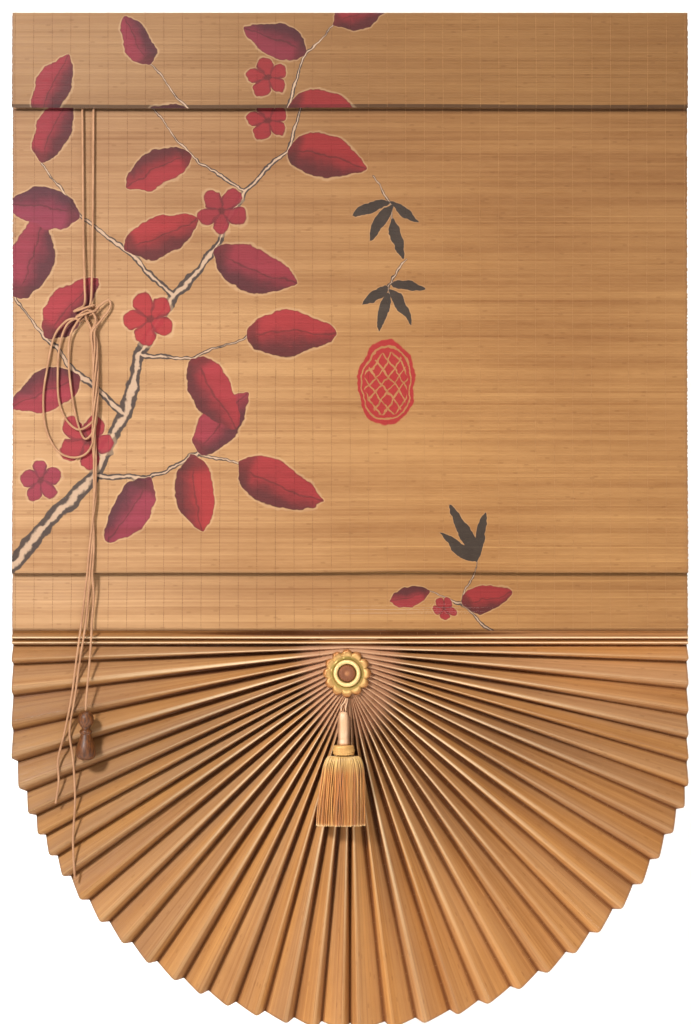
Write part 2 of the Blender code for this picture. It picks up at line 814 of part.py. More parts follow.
def build_guide(finish, collection):
    """A small wooden block on the panel that the pull cords come out of."""
    bm = bmesh.new()
    bmesh.ops.create_cube(bm, size=1.0)
    wide, deep, tall = GUIDE_SIZE
    front_of_panel = PANEL_Y - CLOTH / 2 - GAP
    middle = Vector((GUIDE_X, front_of_panel - deep / 2, GUIDE_Z + tall / 2))
    for vert in bm.verts:
        vert.co = Vector((vert.co.x * wide, vert.co.y * deep, vert.co.z * tall))
    guide = mesh_object("cord_guide", bm, finish, collection)
    guide.location = middle
    edge = guide.modifiers.new("edges", "BEVEL")
    edge.width = 0.6 * MM
    edge.segments = 2
    return guide


# ---- the blind -------------------------------------------------------------


def main():
    clear_scene()
    blind = new_collection("bamboo_blind")
    finishes = {
        "bamboo": material("bamboo", (0.58, 0.36, 0.17), 0.55),
        "bamboo_dark": material("bamboo_dark", (0.43, 0.24, 0.11), 0.55),
        "bamboo_pleat": material("bamboo_pleat", (0.55, 0.32, 0.13), 0.55),
        "gold_braid": material("gold_braid", (0.70, 0.45, 0.16), 0.40),
        "gold_ring": material("gold_ring", (0.80, 0.62, 0.25), 0.30, 0.4),
        "button_cloth": material("button_cloth", (0.42, 0.22, 0.10), 0.60),
        "satin_thread": material("satin_thread", (0.82, 0.62, 0.38), 0.35),
        "gold_strand": material("gold_strand", (0.68, 0.42, 0.15), 0.45),
        "cord": material("cord", (0.48, 0.29, 0.16), 0.75),
        "turned_wood": material("turned_wood", (0.16, 0.08, 0.03), 0.35),
        "guide_wood": material("guide_wood", (0.45, 0.28, 0.13), 0.60),
    }
    hang_cloth("valance", valance_section(), valance_sway, finishes["bamboo_dark"], blind)
    hang_cloth("panel", panel_section(), panel_sway, finishes["bamboo"], blind)
    build_fan(finishes["bamboo_pleat"], blind)
    build_rosette(finishes, blind)
    build_tassel(finishes, blind)
    build_guide(finishes["guide_wood"], blind)
    build_cords(finishes, blind)


main()
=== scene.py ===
"""Looks of the bamboo blind.

The cloths are woven splint by splint: guide lines give each splint its place, a
Geometry Nodes tree turns them into bamboo, and a second tree lays the warp threads
over one splint and under the next. The cords and the knob are built before the
cloths, and the rosette and the tassel after them. Metres, +Z up, the front faces -Y,
as in the frame.
"""

import math
import random
from collections import namedtuple

import bpy
import numpy as np
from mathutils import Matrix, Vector


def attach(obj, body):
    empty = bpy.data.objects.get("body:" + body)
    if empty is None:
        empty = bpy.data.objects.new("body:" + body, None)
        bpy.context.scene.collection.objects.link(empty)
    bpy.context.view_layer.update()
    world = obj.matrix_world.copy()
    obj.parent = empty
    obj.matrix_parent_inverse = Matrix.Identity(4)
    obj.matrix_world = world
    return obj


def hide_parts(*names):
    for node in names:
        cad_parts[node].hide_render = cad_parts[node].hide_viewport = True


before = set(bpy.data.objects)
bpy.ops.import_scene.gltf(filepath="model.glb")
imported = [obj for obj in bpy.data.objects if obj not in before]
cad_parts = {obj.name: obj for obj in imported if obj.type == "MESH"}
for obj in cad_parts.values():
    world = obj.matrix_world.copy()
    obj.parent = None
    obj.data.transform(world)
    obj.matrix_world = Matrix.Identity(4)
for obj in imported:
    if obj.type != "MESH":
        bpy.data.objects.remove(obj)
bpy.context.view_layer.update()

MM = 0.001
ROOT = "root"

# ---- sizes of the blind ----------------------------------------------------

WIDTH = 800 * MM
CLOTH = 1.5 * MM
SPLINT_PITCH = 2.0 * MM
STRING_PITCH = 22.0 * MM
END_BIND = 3.0 * MM  # length of the darker end of each splint

VALANCE_DROP = 114 * MM
VALANCE_BEND = 4.5 * MM
VALANCE_FLARE = 2.75 * MM
VALANCE_BACK = 34 * MM

PANEL_TOP = -6 * MM
PANEL_Y = -2.55 * MM
FOLD_Z = -664 * MM
FOLD_Y = -13.4 * MM
FOLD_BEND = 3.2 * MM
FOLD_RETURN = 44 * MM
BACK_BEND = 2.2 * MM
TIER_Z = -732.5 * MM
TIER_Y = -11.5 * MM
TIER_BEND = 5.0 * MM
TIER_TAIL = 9 * MM

FAN_TOP = -732.1 * MM
PINCH_TOP = -749 * MM
PINCH_HEIGHT = 53 * MM
RIM_RADIUS = 419 * MM
RIM_X = 6 * MM
RIM_Z = -784.6 * MM
FAN_FRONT = -17.5 * MM
FAN_RIM_FRONT = -15.5 * MM
FAN_BACK = -1.8 * MM
FAN_DEPTH = 14.5 * MM
PLEATS = 20
FAN_UNEVEN = 0.25

ROSETTE = Vector((-3.5, 0.0, -782)) * MM
PETALS = 12
PETAL_RADIUS = 28.5 * MM

TASSEL_X = -7.5 * MM
NECK_TOP = -827 * MM
NECK_Y = -27.5 * MM
COLLAR_TOP = -866 * MM
SKIRT_TOP = -878 * MM
SKIRT_BOTTOM = -960 * MM

CORD = 2.7 * MM
KNOB = Vector((-311, -28.4, -826)) * MM

# ---- small helpers ---------------------------------------------------------


def mix(a, b, share):
    return a + (b - a) * share


def smooth_step(share):
    """A share eased at both ends."""
    share = min(1.0, max(0.0, share))
    return share * share * (3 - 2 * share)


def smooth_share(values):
    """The same for an array."""
    values = np.clip(values, 0, 1)
    return values * values * (3 - 2 * values)


def places(*points):
    """Points given in millimetres as (x, y, z)."""
    return [Vector(point) * MM for point in points]


def put(name, data):
    """An object that shows some data, linked into the scene."""
    holder = bpy.data.objects.new(name, data)
    bpy.context.scene.collection.objects.link(holder)
    return holder


def smooth_mesh(name, verts, faces, finish):
    mesh = bpy.data.meshes.new(name)
    mesh.from_pydata([tuple(v) for v in verts], [], [tuple(f) for f in faces])
    mesh.update()
    mesh.shade_smooth()
    mesh.materials.append(finish)
    return put(name, mesh)


def mesh_piece(name, verts, faces, finish):
    """A piece from its points and faces, riding on the blind."""
    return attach(smooth_mesh(name, verts, faces, finish), ROOT)


def dress(piece, node):
    """Hides the solid of the frame that a piece stands in for, and gives the piece back."""
    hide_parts(node)
    return piece


def skin(rings, sides, wheel=False):
    """Faces between rings of points that follow each other, all the way round in a wheel."""
    faces = []
    for k in range(rings if wheel else rings - 1):
        m = (k + 1) % rings
        for j in range(sides):
            n = (j + 1) % sides
            faces.append((k * sides + j, k * sides + n, m * sides + n, m * sides + j))
    return faces


def curve_through(points, step):
    """Points about a step apart on a Catmull-Rom curve through the route's own points."""
    ends = [2 * points[0] - points[1], *points, 2 * points[-1] - points[-2]]
    route = []
    for a, b, c, d in zip(ends, ends[1:], ends[2:], ends[3:]):
        count = max(1, round((c - b).length / step))
        for i in range(count):
            t = i / count
            straight = 2 * b + (c - a) * t
            bend = (2 * a - 5 * b + 4 * c - d) * t * t + (3 * b - a - 3 * c + d) * t * t * t
            route.append(0.5 * (straight + bend))
    route.append(points[-1])
    return route


def length_of(points):
    return sum((b - a).length for a, b in zip(points, points[1:]))


# ---- camera, floor and light -----------------------------------------------

VIEW_CENTRE = Vector((-5.3, -8.0, -591.7)) * MM
VIEW_HEIGHT = 1211.8 * MM
VIEW_DISTANCE = 4.2
SENSOR_HEIGHT = 36

FLOOR_Z = -1.42
FLOOR_FRONT = -3.5
FLOOR_SIDE = 4.0
BACKDROP_Y = 0.9
BACKDROP_TOP = 2.2
SWEEP = 0.5  # radius of the bend from floor to backdrop
SWEEP_STEPS = 12
PAPER = (0.93, 0.93, 0.92, 1)
PAPER_GLOW, PAPER_GLOW_STRENGTH = (1.0, 0.995, 0.985, 1), 0.3

Lamp = namedtuple("Lamp", "name place aim size power colour")
LAMPS = [
    Lamp("key", (-1.5, -2.3, 0.62), (0.0, 0.0, -0.55), 0.5, 92, (1.0, 0.975, 0.95)),
    Lamp("fill", (1.6, -3.0, -0.2), (0.0, 0.0, -0.6), 1.8, 7, (1.0, 0.97, 0.94)),
    Lamp("backdrop", (0.0, -0.3, 1.9), (0.0, 0.9, -0.9), 1.6, 30, (1.0, 1.0, 1.0)),
    Lamp("behind", (0.9, 0.75, 0.35), (0.0, 0.0, -0.6), 0.7, 7, (1.0, 0.98, 0.95)),
]
ROOM, ROOM_STRENGTH = (1.0, 0.99, 0.98, 1), 0.18


def make_camera():
    camera = bpy.data.cameras.new("camera")
    camera.sensor_fit = "VERTICAL"
    camera.sensor_height = SENSOR_HEIGHT
    camera.lens = SENSOR_HEIGHT * VIEW_DISTANCE / VIEW_HEIGHT
    holder = put("camera", camera)
    holder.location = VIEW_CENTRE - Vector((0, VIEW_DISTANCE, 0))
    holder.rotation_euler = (math.radians(90), 0, 0)
    bpy.context.scene.camera = holder


def make_stage():
    """A pale floor that sweeps up into a backdrop behind the blind."""
    finish, _, shader = new_finish("pale_paper", 0.9)
    shader.inputs["Base Color"].default_value = PAPER
    shader.inputs["Emission Color"].default_value = PAPER_GLOW
    shader.inputs["Emission Strength"].default_value = PAPER_GLOW_STRENGTH
    section = [(FLOOR_FRONT, FLOOR_Z), (BACKDROP_Y - SWEEP, FLOOR_Z)]
    for k in range(1, SWEEP_STEPS + 1):
        angle = math.radians(90 * k / SWEEP_STEPS)
        y = BACKDROP_Y - SWEEP + SWEEP * math.sin(angle)
        section.append((y, FLOOR_Z + SWEEP - SWEEP * math.cos(angle)))
    section.append((BACKDROP_Y, BACKDROP_TOP))
    verts = [(x, y, z) for x in (-FLOOR_SIDE, FLOOR_SIDE) for y, z in section]
    count = len(section)
    faces = [(k, count + k, count + k + 1, k + 1) for k in range(count - 1)]
    smooth_mesh("floor_and_backdrop", verts, faces, finish)


def make_light():
    for lamp in LAMPS:
        light = bpy.data.lights.new(lamp.name, "AREA")
        light.shape = "DISK"
        light.size, light.energy, light.color = lamp.size, lamp.power, lamp.colour
        holder = put(lamp.name, light)
        holder.location = lamp.place
        heading = Vector(lamp.aim) - Vector(lamp.place)
        holder.rotation_euler = heading.to_track_quat("-Z", "Y").to_euler()
    world = bpy.data.worlds.new("soft_room")
    world.use_nodes = True
    background = world.node_tree.nodes["Background"]
    background.inputs["Color"].default_value = ROOM
    background.inputs["Strength"].default_value = ROOM_STRENGTH
    bpy.context.scene.world = world
    bpy.context.scene.view_settings.view_transform = "Standard"


# ---- shader helpers --------------------------------------------------------


class Nodes:
    """Adds nodes to a tree, with inputs given as values or as other nodes' outputs."""

    def __init__(self, tree):
        self.tree = tree

    def make(self, kind, *values, **settings):
        """A new node: its settings by name, and its first inputs in order."""
        node = self.tree.nodes.new(kind)
        for key, value in settings.items():
            setattr(node, key, value)
        for socket, value in zip(node.inputs, values):
            self.feed(socket, value)
        return node

    def add(self, kind, settings=None, **inputs):
        """The same with its inputs by name."""
        node = self.make(kind, **(settings or {}))
        for key, value in inputs.items():
            self.feed(node.inputs[key.replace("_", " ")], value)
        return node

    def feed(self, socket, value):
        if isinstance(value, bpy.types.NodeSocket):
            self.tree.links.new(value, socket)
        else:
            socket.default_value = value

    def math(self, operation, *values, clamp=False):
        node = self.make("ShaderNodeMath", *values, operation=operation, use_clamp=clamp)
        return node.outputs[0]

    def times(self, a, b, clamp=False):
        return self.math("MULTIPLY", a, b, clamp=clamp)

    def apart(self, a, b):
        """How far two numbers are from each other."""
        return self.math("ABSOLUTE", self.math("SUBTRACT", a, b))

    def vector(self, operation, *values):
        node = self.make("ShaderNodeVectorMath", *values, operation=operation)
        gives_number = operation in ("DOT_PRODUCT", "LENGTH", "DISTANCE")
        return node.outputs["Value" if gives_number else "Vector"]

    def scale(self, vector, factor):
        node = self.make("ShaderNodeVectorMath", vector, operation="SCALE")
        self.feed(node.inputs["Scale"], factor)
        return node.outputs["Vector"]

    def between(self, value, low, high, to_low=0.0, to_high=1.0, smooth=True):
        way = "SMOOTHSTEP" if smooth else "LINEAR"
        values = (value, low, high, to_low, to_high)
        return self.make("ShaderNodeMapRange", *values, interpolation_type=way).outputs[0]

    def blend(self, share, a, b, way="MIX"):
        node = self.make("ShaderNodeMix", share, data_type="RGBA", blend_type=way)
        self.feed(node.inputs[6], a)
        self.feed(node.inputs[7], b)
        return node.outputs[2]

    def tint(self, shade, share, low, high):
        """A colour multiplied by one that goes from low to high."""
        return self.blend(1.0, shade, self.blend(share, low, high), "MULTIPLY")

    def cover(self, shade, mask, strength, over):
        """A colour partly covered by another where the mask says."""
        return self.blend(self.times(mask, strength), shade, over)

    def lay(self, share, under, over):
        """A mix of two vectors."""
        node = self.make("ShaderNodeMix", share, data_type="VECTOR")
        self.feed(node.inputs[4], under)
        self.feed(node.inputs[5], over)
        return node.outputs[1]

    def noise(self, vector, scale, detail=2.0, roughness=0.5):
        values = {"Vector": vector, "Scale": scale, "Detail": detail, "Roughness": roughness}
        return self.add("ShaderNodeTexNoise", **values).outputs[0]

    def combine(self, x, y, z):
        return self.make("ShaderNodeCombineXYZ", x, y, z).outputs[0]

    def split(self, vector):
        return self.make("ShaderNodeSeparateXYZ", vector).outputs

    def attribute(self, name):
        return self.make("ShaderNodeAttribute", attribute_name=name).outputs["Fac"]

    def place(self):
        return self.make("ShaderNodeTexCoord").outputs["Object"]


def colour(red, green, blue):
    """A colour given as it looks on a screen, 0 to 255, made linear."""
    screen = (red, green, blue)
    return (*[((c / 255 + 0.055) / 1.055) ** 2.4 if c > 10 else c / 3295 for c in screen], 1.0)


def new_finish(name, roughness=0.5, **constants):
    """A material with its own Principled shader; constants go on the shader's sockets."""
    finish = bpy.data.materials.new(name)
    finish.use_nodes = True
    shader = finish.node_tree.nodes["Principled BSDF"]
    shader.inputs["Roughness"].default_value = roughness
    for key, value in constants.items():
        shader.inputs[key.replace("_", " ")].default_value = value
    return finish, Nodes(finish.node_tree), shader


def give_bump(nodes, shader, height, strength, distance):
    bump = nodes.add("ShaderNodeBump", Strength=strength, Distance=distance, Height=height)
    nodes.feed(shader.inputs["Normal"], bump.outputs[0])


def new_tree(name, sort, inputs, outputs):
    """A node group with named sockets, its nodes, what it is given and what it puts out."""
    tree = bpy.data.node_groups.new(name, sort)
    for label, kind, default in inputs:
        socket = tree.interface.new_socket(label, in_out="INPUT", socket_type="NodeSocket" + kind)
        if default is not None:
            socket.default_value = default
    for label, kind in outputs:
        tree.interface.new_socket(label, in_out="OUTPUT", socket_type="NodeSocket" + kind)
    given, out = tree.nodes.new("NodeGroupInput"), tree.nodes.new("NodeGroupOutput")
    return tree, Nodes(tree), given.outputs, out.inputs


def new_group(name, inputs, outputs):
    return new_tree(name, "ShaderNodeTree", inputs, outputs)


def use_group(nodes, group, **inputs):
    return nodes.add("ShaderNodeGroup", {"node_tree": group}, **inputs).outputs


# ---- bamboo ----------------------------------------------------------------


CANE_JOINT, BOUND_END = colour(120, 74, 38), colour(116, 92, 78)

# The hung cloths: a tint from left to right, painted light from top to foot, and painted shadow and
# shade.
HUNG_LEFT, HUNG_RIGHT = (0.97, 1.07, 1.27, 1), (0.83, 0.79, 0.66, 1)
PAINTED_LIGHT_TOP, PAINTED_LIGHT_FOOT = (0.82, 0.82, 0.84, 1), (1.14, 1.18, 1.18, 1)
FOLD_SHADOW, HEM_PAINTED_SHADE = colour(78, 44, 20), colour(58, 36, 20)
# Painted shadow under a fold: its top, how far down it lies and how strong it is.
FOLD_SHADOWS = ((-VALANCE_DROP, 7 * MM, 0.85), (FOLD_Z, 9 * MM, 0.5))

# The fan: tints of its faces, painted shade in its valleys, tints of its parts and sides, a painted
# crest highlight and the hub's colour.
PLAIN = (1.0, 1.0, 1.0, 1)
FACE_OCHRE, FACE_PINK = (1.06, 1.00, 0.84, 1), (0.96, 0.99, 1.14, 1)
VALLEY_SHADE_NEAR, VALLEY_SHADE_FAR = (0.28, 0.18, 0.11, 1), (0.42, 0.29, 0.19, 1)
FAN_MIDWAY, FAN_FOOT = (0.92, 0.93, 0.96, 1), (1.22, 1.20, 1.10, 1)
FAN_GATHERED = (1.30, 1.30, 1.26, 1)
FAN_LEFT, FAN_RIGHT = (0.78, 0.78, 0.70, 1), (0.97, 0.94, 0.84, 1)
CREST_HIGHLIGHT, HUB_TONE = colour(240, 214, 182), colour(190, 146, 118)


def bamboo_group():
    """Colour and relief of split bamboo, from each splint's own attributes."""
    group, n, given, out = new_group(
        "split bamboo",
        [
            ("Pale", "Color", colour(222, 180, 132)),
            ("Deep", "Color", colour(176, 122, 76)),
            ("Variation", "Float", 1.0),
        ],
        [("Color", "Color"), ("Height", "Float"), ("Shine", "Float")],
    )
    tone, along, run = n.attribute("tone"), n.attribute("along"), n.attribute("run")

    def pattern(along_scale, seat, run_scale, detail):
        """Noise stretched along the splints; its seat says which splints share it."""
        place = n.combine(n.times(along, along_scale), seat, n.times(run, run_scale))
        return n.noise(place, 1.0, detail)

    seat = n.times(tone, 37.0)
    streak = pattern(3.0, seat, 300.0, 3.0)
    fibre = pattern(60.0, seat, 5200.0, 2.0)
    band = pattern(1.6, 2.0, 75.0, 2.0)
    cloud = pattern(4.0, 5.0, 9.0, 2.0)
    level = n.math("MULTIPLY_ADD", n.math("SUBTRACT", tone, 0.5), 0.16, 0.5)
    for noise, weight in ((streak, 0.6), (fibre, 0.25), (band, 0.85), (cloud, 0.7)):
        level = n.math("MULTIPLY_ADD", n.math("SUBTRACT", noise, 0.5), weight, level)
    spread = n.times(n.math("SUBTRACT", level, 0.5), given["Variation"])
    level = n.math("ADD", spread, 0.5, clamp=True)
    shade = n.blend(level, given["Deep"], given["Pale"])
    # Each cane's joints cross its splint as short dark bars.
    beat = n.math("FRACT", n.math("ADD", n.times(along, 2.1), n.times(tone, 17.0)))
    joint = n.between(n.apart(beat, 0.5), 0.003, 0.008, 1.0, 0.0)
    shade = n.cover(shade, joint, 0.25, CANE_JOINT)
    # The cut ends are greyed by handling and by the stiffening that binds them.
    shade = n.cover(shade, n.attribute("bound"), 0.55, BOUND_END)
    n.feed(out["Color"], shade)
    relief = n.math("ADD", n.times(fibre, 0.7), n.times(joint, 0.5))
    n.feed(out["Height"], relief)
    n.feed(out["Shine"], n.between(fibre, 0.3, 0.7, 0.45, 0.62))
    return group


def bamboo_finish(name, group, pale, deep, variation, tint=None):
    finish, n, shader = new_finish(name, 0.5, Specular_IOR_Level=0.3)
    bamboo = use_group(n, group, Pale=pale, Deep=deep, Variation=variation)
    shade = bamboo["Color"]
    if tint:
        shade = tint(n, shade)
    n.feed(shader.inputs["Base Color"], shade)
    n.feed(shader.inputs["Roughness"], bamboo["Shine"])
    give_bump(n, shader, bamboo["Height"], 0.2, 0.0002)
    return finish


def hung_tint_and_painted_light(n, shade):
    """Slow tint from left to right, painted light from top to foot, painted shadow under folds,
    painted shade on lips and hem.
    """
    x, _, z = n.split(n.place())
    across = n.blend(n.between(x, -0.42, 0.16), HUNG_LEFT, HUNG_RIGHT)
    # Painted light: the cloth is darker at its top and brighter towards its foot.
    down = n.blend(n.between(z, -0.08, -0.56), PAINTED_LIGHT_TOP, PAINTED_LIGHT_FOOT)
    shade = n.blend(1.0, shade, n.blend(1.0, across, down, "MULTIPLY"), "MULTIPLY")
    # Painted shadow on the cloth just under the valance and under the fold.
    for top, depth, strength in FOLD_SHADOWS:
        near = n.between(z, top - depth, top, smooth=False)
        shade = n.cover(shade, n.times(near, n.math("LESS_THAN", z, top)), strength, FOLD_SHADOW)
    # Painted shade on the splints that face downwards and on the dark hem splints.
    return n.cover(shade, n.attribute("stain"), 0.8, HEM_PAINTED_SHADE)


def pleat_tint_and_painted_light(n, shade):
    """Pleats with painted shade in their valleys, painted highlights on their crests and a
    pinkish-grey hub.
    """
    level, stain, along = n.attribute("level"), n.attribute("stain"), n.attribute("along")
    x, _, z = n.split(n.place())
    patch = n.combine(n.times(n.attribute("run"), 24.0), 3.0, n.times(along, 2.5))
    hue = n.between(n.noise(patch, 1.0, 2.0), 0.32, 0.68)
    shade = n.tint(shade, hue, FACE_OCHRE, FACE_PINK)
    # Painted shade fills the valleys near the middle and narrows to a line towards the rim.
    opened = n.between(along, 0.06, 0.32)
    edge = n.between(opened, 0.0, 1.0, 0.08, 0.66, smooth=False)
    valley_shade = n.between(stain, edge, n.math("ADD", edge, 0.32))
    shade = n.tint(shade, valley_shade, PLAIN, n.blend(opened, VALLEY_SHADE_NEAR, VALLEY_SHADE_FAR))
    # Painted highlight along the crests; the level pleats' crests are lower and get it all the way
    # across.
    crest = n.times(n.between(level, 0.84, 0.98), n.between(along, 0.36, 0.05, 0.12, 0.9))
    held = n.between(z, PINCH_TOP + MM, PINCH_TOP + 2 * MM)
    held = n.times(n.between(level, 0.62, 0.80), held)
    shade = n.blend(n.math("MAXIMUM", crest, n.times(held, 0.8)), shade, CREST_HIGHLIGHT)
    below = n.between(z, PINCH_TOP, PINCH_TOP - 3 * MM)
    hub = n.times(n.between(along, 0.075, 0.045), below)
    shade = n.cover(shade, hub, 0.85, HUB_TONE)
    shade = n.tint(shade, n.between(z, -0.80, -1.12), FAN_MIDWAY, FAN_FOOT)
    near = n.math("MAXIMUM", n.between(z, -0.87, -0.775), n.between(along, 0.22, 0.07))
    shade = n.tint(shade, near, PLAIN, FAN_GATHERED)
    return n.tint(shade, n.between(x, -0.34, 0.10), FAN_LEFT, FAN_RIGHT)


# ---- printed spray ---------------------------------------------------------
# A spray of leaves and five-petalled blossom on an inked twig, two ink sprigs and a
# seal with a plain lattice. The tables are in millimetres across and up the cloth.

Leaf = namedtuple("Leaf", "x z turn length width bend tone")
Blossom = namedtuple("Blossom", "x z radius turn tone")
INK = 2.0  # the tone that makes a leaf an ink leaf
VALANCE_REPEAT = 50 * MM  # how far the design has moved up where the valance begins

# Twigs: across, up and half width at each point.
TWIG = [
    (-408, -662, 8.5),
    (-350, -598, 9.5),
    (-302, -548, 8.0),
    (-266, -476, 8.5),
    (-250, -404, 6.5),
    (-208, -336, 6.5),
    (-160, -282, 4.5),
    (-126, -214, 4.0),
    (-76, -162, 2.8),
    (-50, -100, 1.8),
    (-18, -64, 1.0),
]
SIDE_TWIGS = [
    [(-302, -548, 5.0), (-238, -552, 3.2), (-180, -524, 2.2), (-132, -536, 1.2)],
    [(-266, -476, 5.5), (-318, -432, 4.0), (-360, -384, 2.8), (-396, -338, 1.6)],
    [(-208, -336, 4.2), (-268, -280, 3.2), (-320, -240, 2.2), (-366, -176, 1.2)],
    [(-250, -404, 4.0), (-186, -410, 2.4), (-126, -384, 1.4)],
    [(-126, -214, 2.8), (-188, -168, 2.0), (-236, -114, 1.0)],
    [(168, -734, 2.4), (132, -700, 1.8), (92, -684, 1.0)],
    [(132, -700, 1.4), (146, -668, 1.1), (150, -646, 0.8)],
    [(28, -196, 1.2), (46, -224, 1.5), (52, -262, 0.8)],
    [(66, -292, 1.2), (48, -322, 1.5), (46, -352, 0.8)],
]
LEAVES = [
    Leaf(-132, -536, -24, 108, 27, 0.5, 0.1),
    Leaf(-180, -524, 52, 96, 24, -0.5, 0.5),
    Leaf(-186, -526, -82, 92, 24, 0.6, 0.0),
    Leaf(-238, -552, -122, 92, 23, -0.4, 0.7),
    Leaf(-396, -338, 72, 104, 26, 0.5, 0.6),
    Leaf(-360, -384, 48, 92, 23, -0.6, 0.2),
    Leaf(-318, -432, 204, 92, 24, 0.5, 0.4),
    Leaf(-366, -176, 66, 84, 21, -0.4, 0.3),
    Leaf(-320, -240, 172, 92, 23, 0.6, 0.8),
    Leaf(-268, -280, 22, 96, 23, 0.5, 0.0),
    Leaf(-126, -384, 2, 112, 27, -0.5, 0.1),
    Leaf(-186, -410, -58, 98, 25, 0.4, 0.2),
    Leaf(-160, -282, -22, 104, 26, 0.6, 0.5),
    Leaf(-236, -114, 118, 66, 18, -0.3, 0.6),
    Leaf(-188, -168, 206, 88, 21, 0.5, 0.1),
    Leaf(-76, -162, -14, 100, 25, -0.6, 0.0),
    Leaf(-50, -100, 158, 82, 20, 0.4, 0.7),
    Leaf(-18, -64, 26, 72, 18, 0.5, 0.2),
    Leaf(132, -700, 14, 62, 15, 0.4, 0.1),
    Leaf(92, -684, 196, 50, 12, -0.4, 0.3),
    Leaf(150, -648, 116, 74, 7.5, 0.5, INK),
    Leaf(150, -648, 146, 54, 6.5, -0.4, INK),
    Leaf(148, -650, 78, 58, 6.5, -0.5, INK),
    Leaf(46, -224, -158, 46, 6.0, 0.5, INK),
    Leaf(48, -228, -122, 52, 6.5, -0.4, INK),
    Leaf(50, -244, -76, 50, 6.5, 0.4, INK),
    Leaf(46, -224, -34, 46, 6.0, -0.5, INK),
    Leaf(48, -322, -146, 44, 6.0, -0.4, INK),
    Leaf(46, -330, -104, 50, 6.5, 0.4, INK),
    Leaf(48, -326, -60, 52, 6.5, -0.4, INK),
    Leaf(50, -320, -14, 42, 6.0, 0.5, INK),
]
BLOSSOMS = [
    Blossom(-312, -508, 35, 0.4, 0.2),
    Blossom(-238, -362, 32, 1.3, 0.0),
    Blossom(-366, -556, 27, 2.1, 0.6),
    Blossom(-152, -236, 30, 0.9, 0.3),
    Blossom(-98, -128, 24, 1.9, 0.1),
    Blossom(112, -706, 15, 0.7, 0.2),
]
SEAL_PLACE, SEAL_SIZE = (44, -440), (35, 52)
WANDER = 18 * MM  # how far the brushed edges stray
INK_EDGE, BARK, SEAL_RED = colour(56, 48, 48), colour(188, 158, 132), colour(158, 32, 38)
HALO = colour(238, 204, 164)
CRIMSON = colour(172, 40, 52), colour(98, 24, 38)  # lit and shaded
PURPLE = colour(138, 46, 78), colour(78, 28, 52)
LEAF_LINE, INK_DARK, INK_PALE = colour(66, 18, 28), colour(36, 32, 34), colour(72, 66, 66)
STREAKS = colour(206, 158, 112)[:3]  # cloth colour that leaves the print as it is


def millimetres(x, z):
    """A design point; its middle number is always one, so that a dot product can add an offset."""
    return x * MM, 1.0, z * MM


def measure(x, z, turn, length):
    """A direction that measures, as a dot product, how far a point lies along it over a length."""
    angle = math.radians(turn)
    across, up = math.cos(angle) / (length * MM), math.sin(angle) / (length * MM)
    return across, -(x * MM * across + z * MM * up), up


LAID = [
    ("Point", "Vector", None),
    ("Tone", "Float", 0.0),
    ("Under", "Vector", None),
    ("Rim", "Float", -1.0),
]


def lay_over(n, given, out, rim, side, along):
    """Lays a leaf or a blossom over what is printed under it."""
    cover = n.times(rim, 20.0)
    over = n.lay(cover, given["Under"], n.combine(side, along, given["Tone"]))
    n.feed(out["Over"], over)
    n.feed(out["Rim"], n.math("MAXIMUM", given["Rim"], rim))


def leaf_group():
    """One leaf, laid over what is printed under it."""
    group, n, given, out = new_group(
        "printed leaf",
        [
            *LAID,
            ("Lengthwise", "Vector", None),
            ("Crosswise", "Vector", None),
            ("Bend", "Float", 0.0),
        ],
        [("Over", "Vector"), ("Rim", "Float")],
    )
    along = n.vector("DOT_PRODUCT", given["Point"], given["Lengthwise"])
    across = n.vector("DOT_PRODUCT", given["Point"], given["Crosswise"])
    hump = n.times(along, n.math("SUBTRACT", 1.0, along))
    across = n.math("MULTIPLY_ADD", hump, given["Bend"], across)
    swell = n.math("POWER", n.math("MAXIMUM", hump, 0.0), 0.66)
    width = n.times(swell, n.math("MULTIPLY_ADD", along, -1.2, 3.1))
    width = n.math("MULTIPLY_ADD", n.math("MINIMUM", hump, 0.0), 8.0, width)
    rim = n.math("SUBTRACT", width, n.math("ABSOLUTE", across))
    lay_over(n, given, out, rim, across, along)
    return group


def blossom_group():
    """One blossom of five petals, laid over what is printed under it."""
    group, n, given, out = new_group(
        "printed blossom",
        [
            *LAID,
            ("Centre", "Vector", None),
            ("Radius", "Float", 1.0),
            ("Turn", "Float", 0.0),
        ],
        [("Over", "Vector"), ("Rim", "Float")],
    )
    offset = n.vector("SUBTRACT", given["Point"], given["Centre"])
    x, _, z = n.split(offset)
    reach = n.math("DIVIDE", n.vector("LENGTH", offset), given["Radius"])
    half_turns = n.math("MULTIPLY_ADD", n.math("ARCTAN2", z, x), 2.5, given["Turn"])
    petal = n.math("ABSOLUTE", n.math("COSINE", half_turns))
    edge = n.math("MULTIPLY_ADD", n.math("POWER", petal, 0.5), 0.46, 0.54)
    rim = n.math("SUBTRACT", edge, reach)
    side = n.math("MULTIPLY_ADD", petal, 1.1, -0.35)
    lay_over(n, given, out, rim, side, reach)
    return group


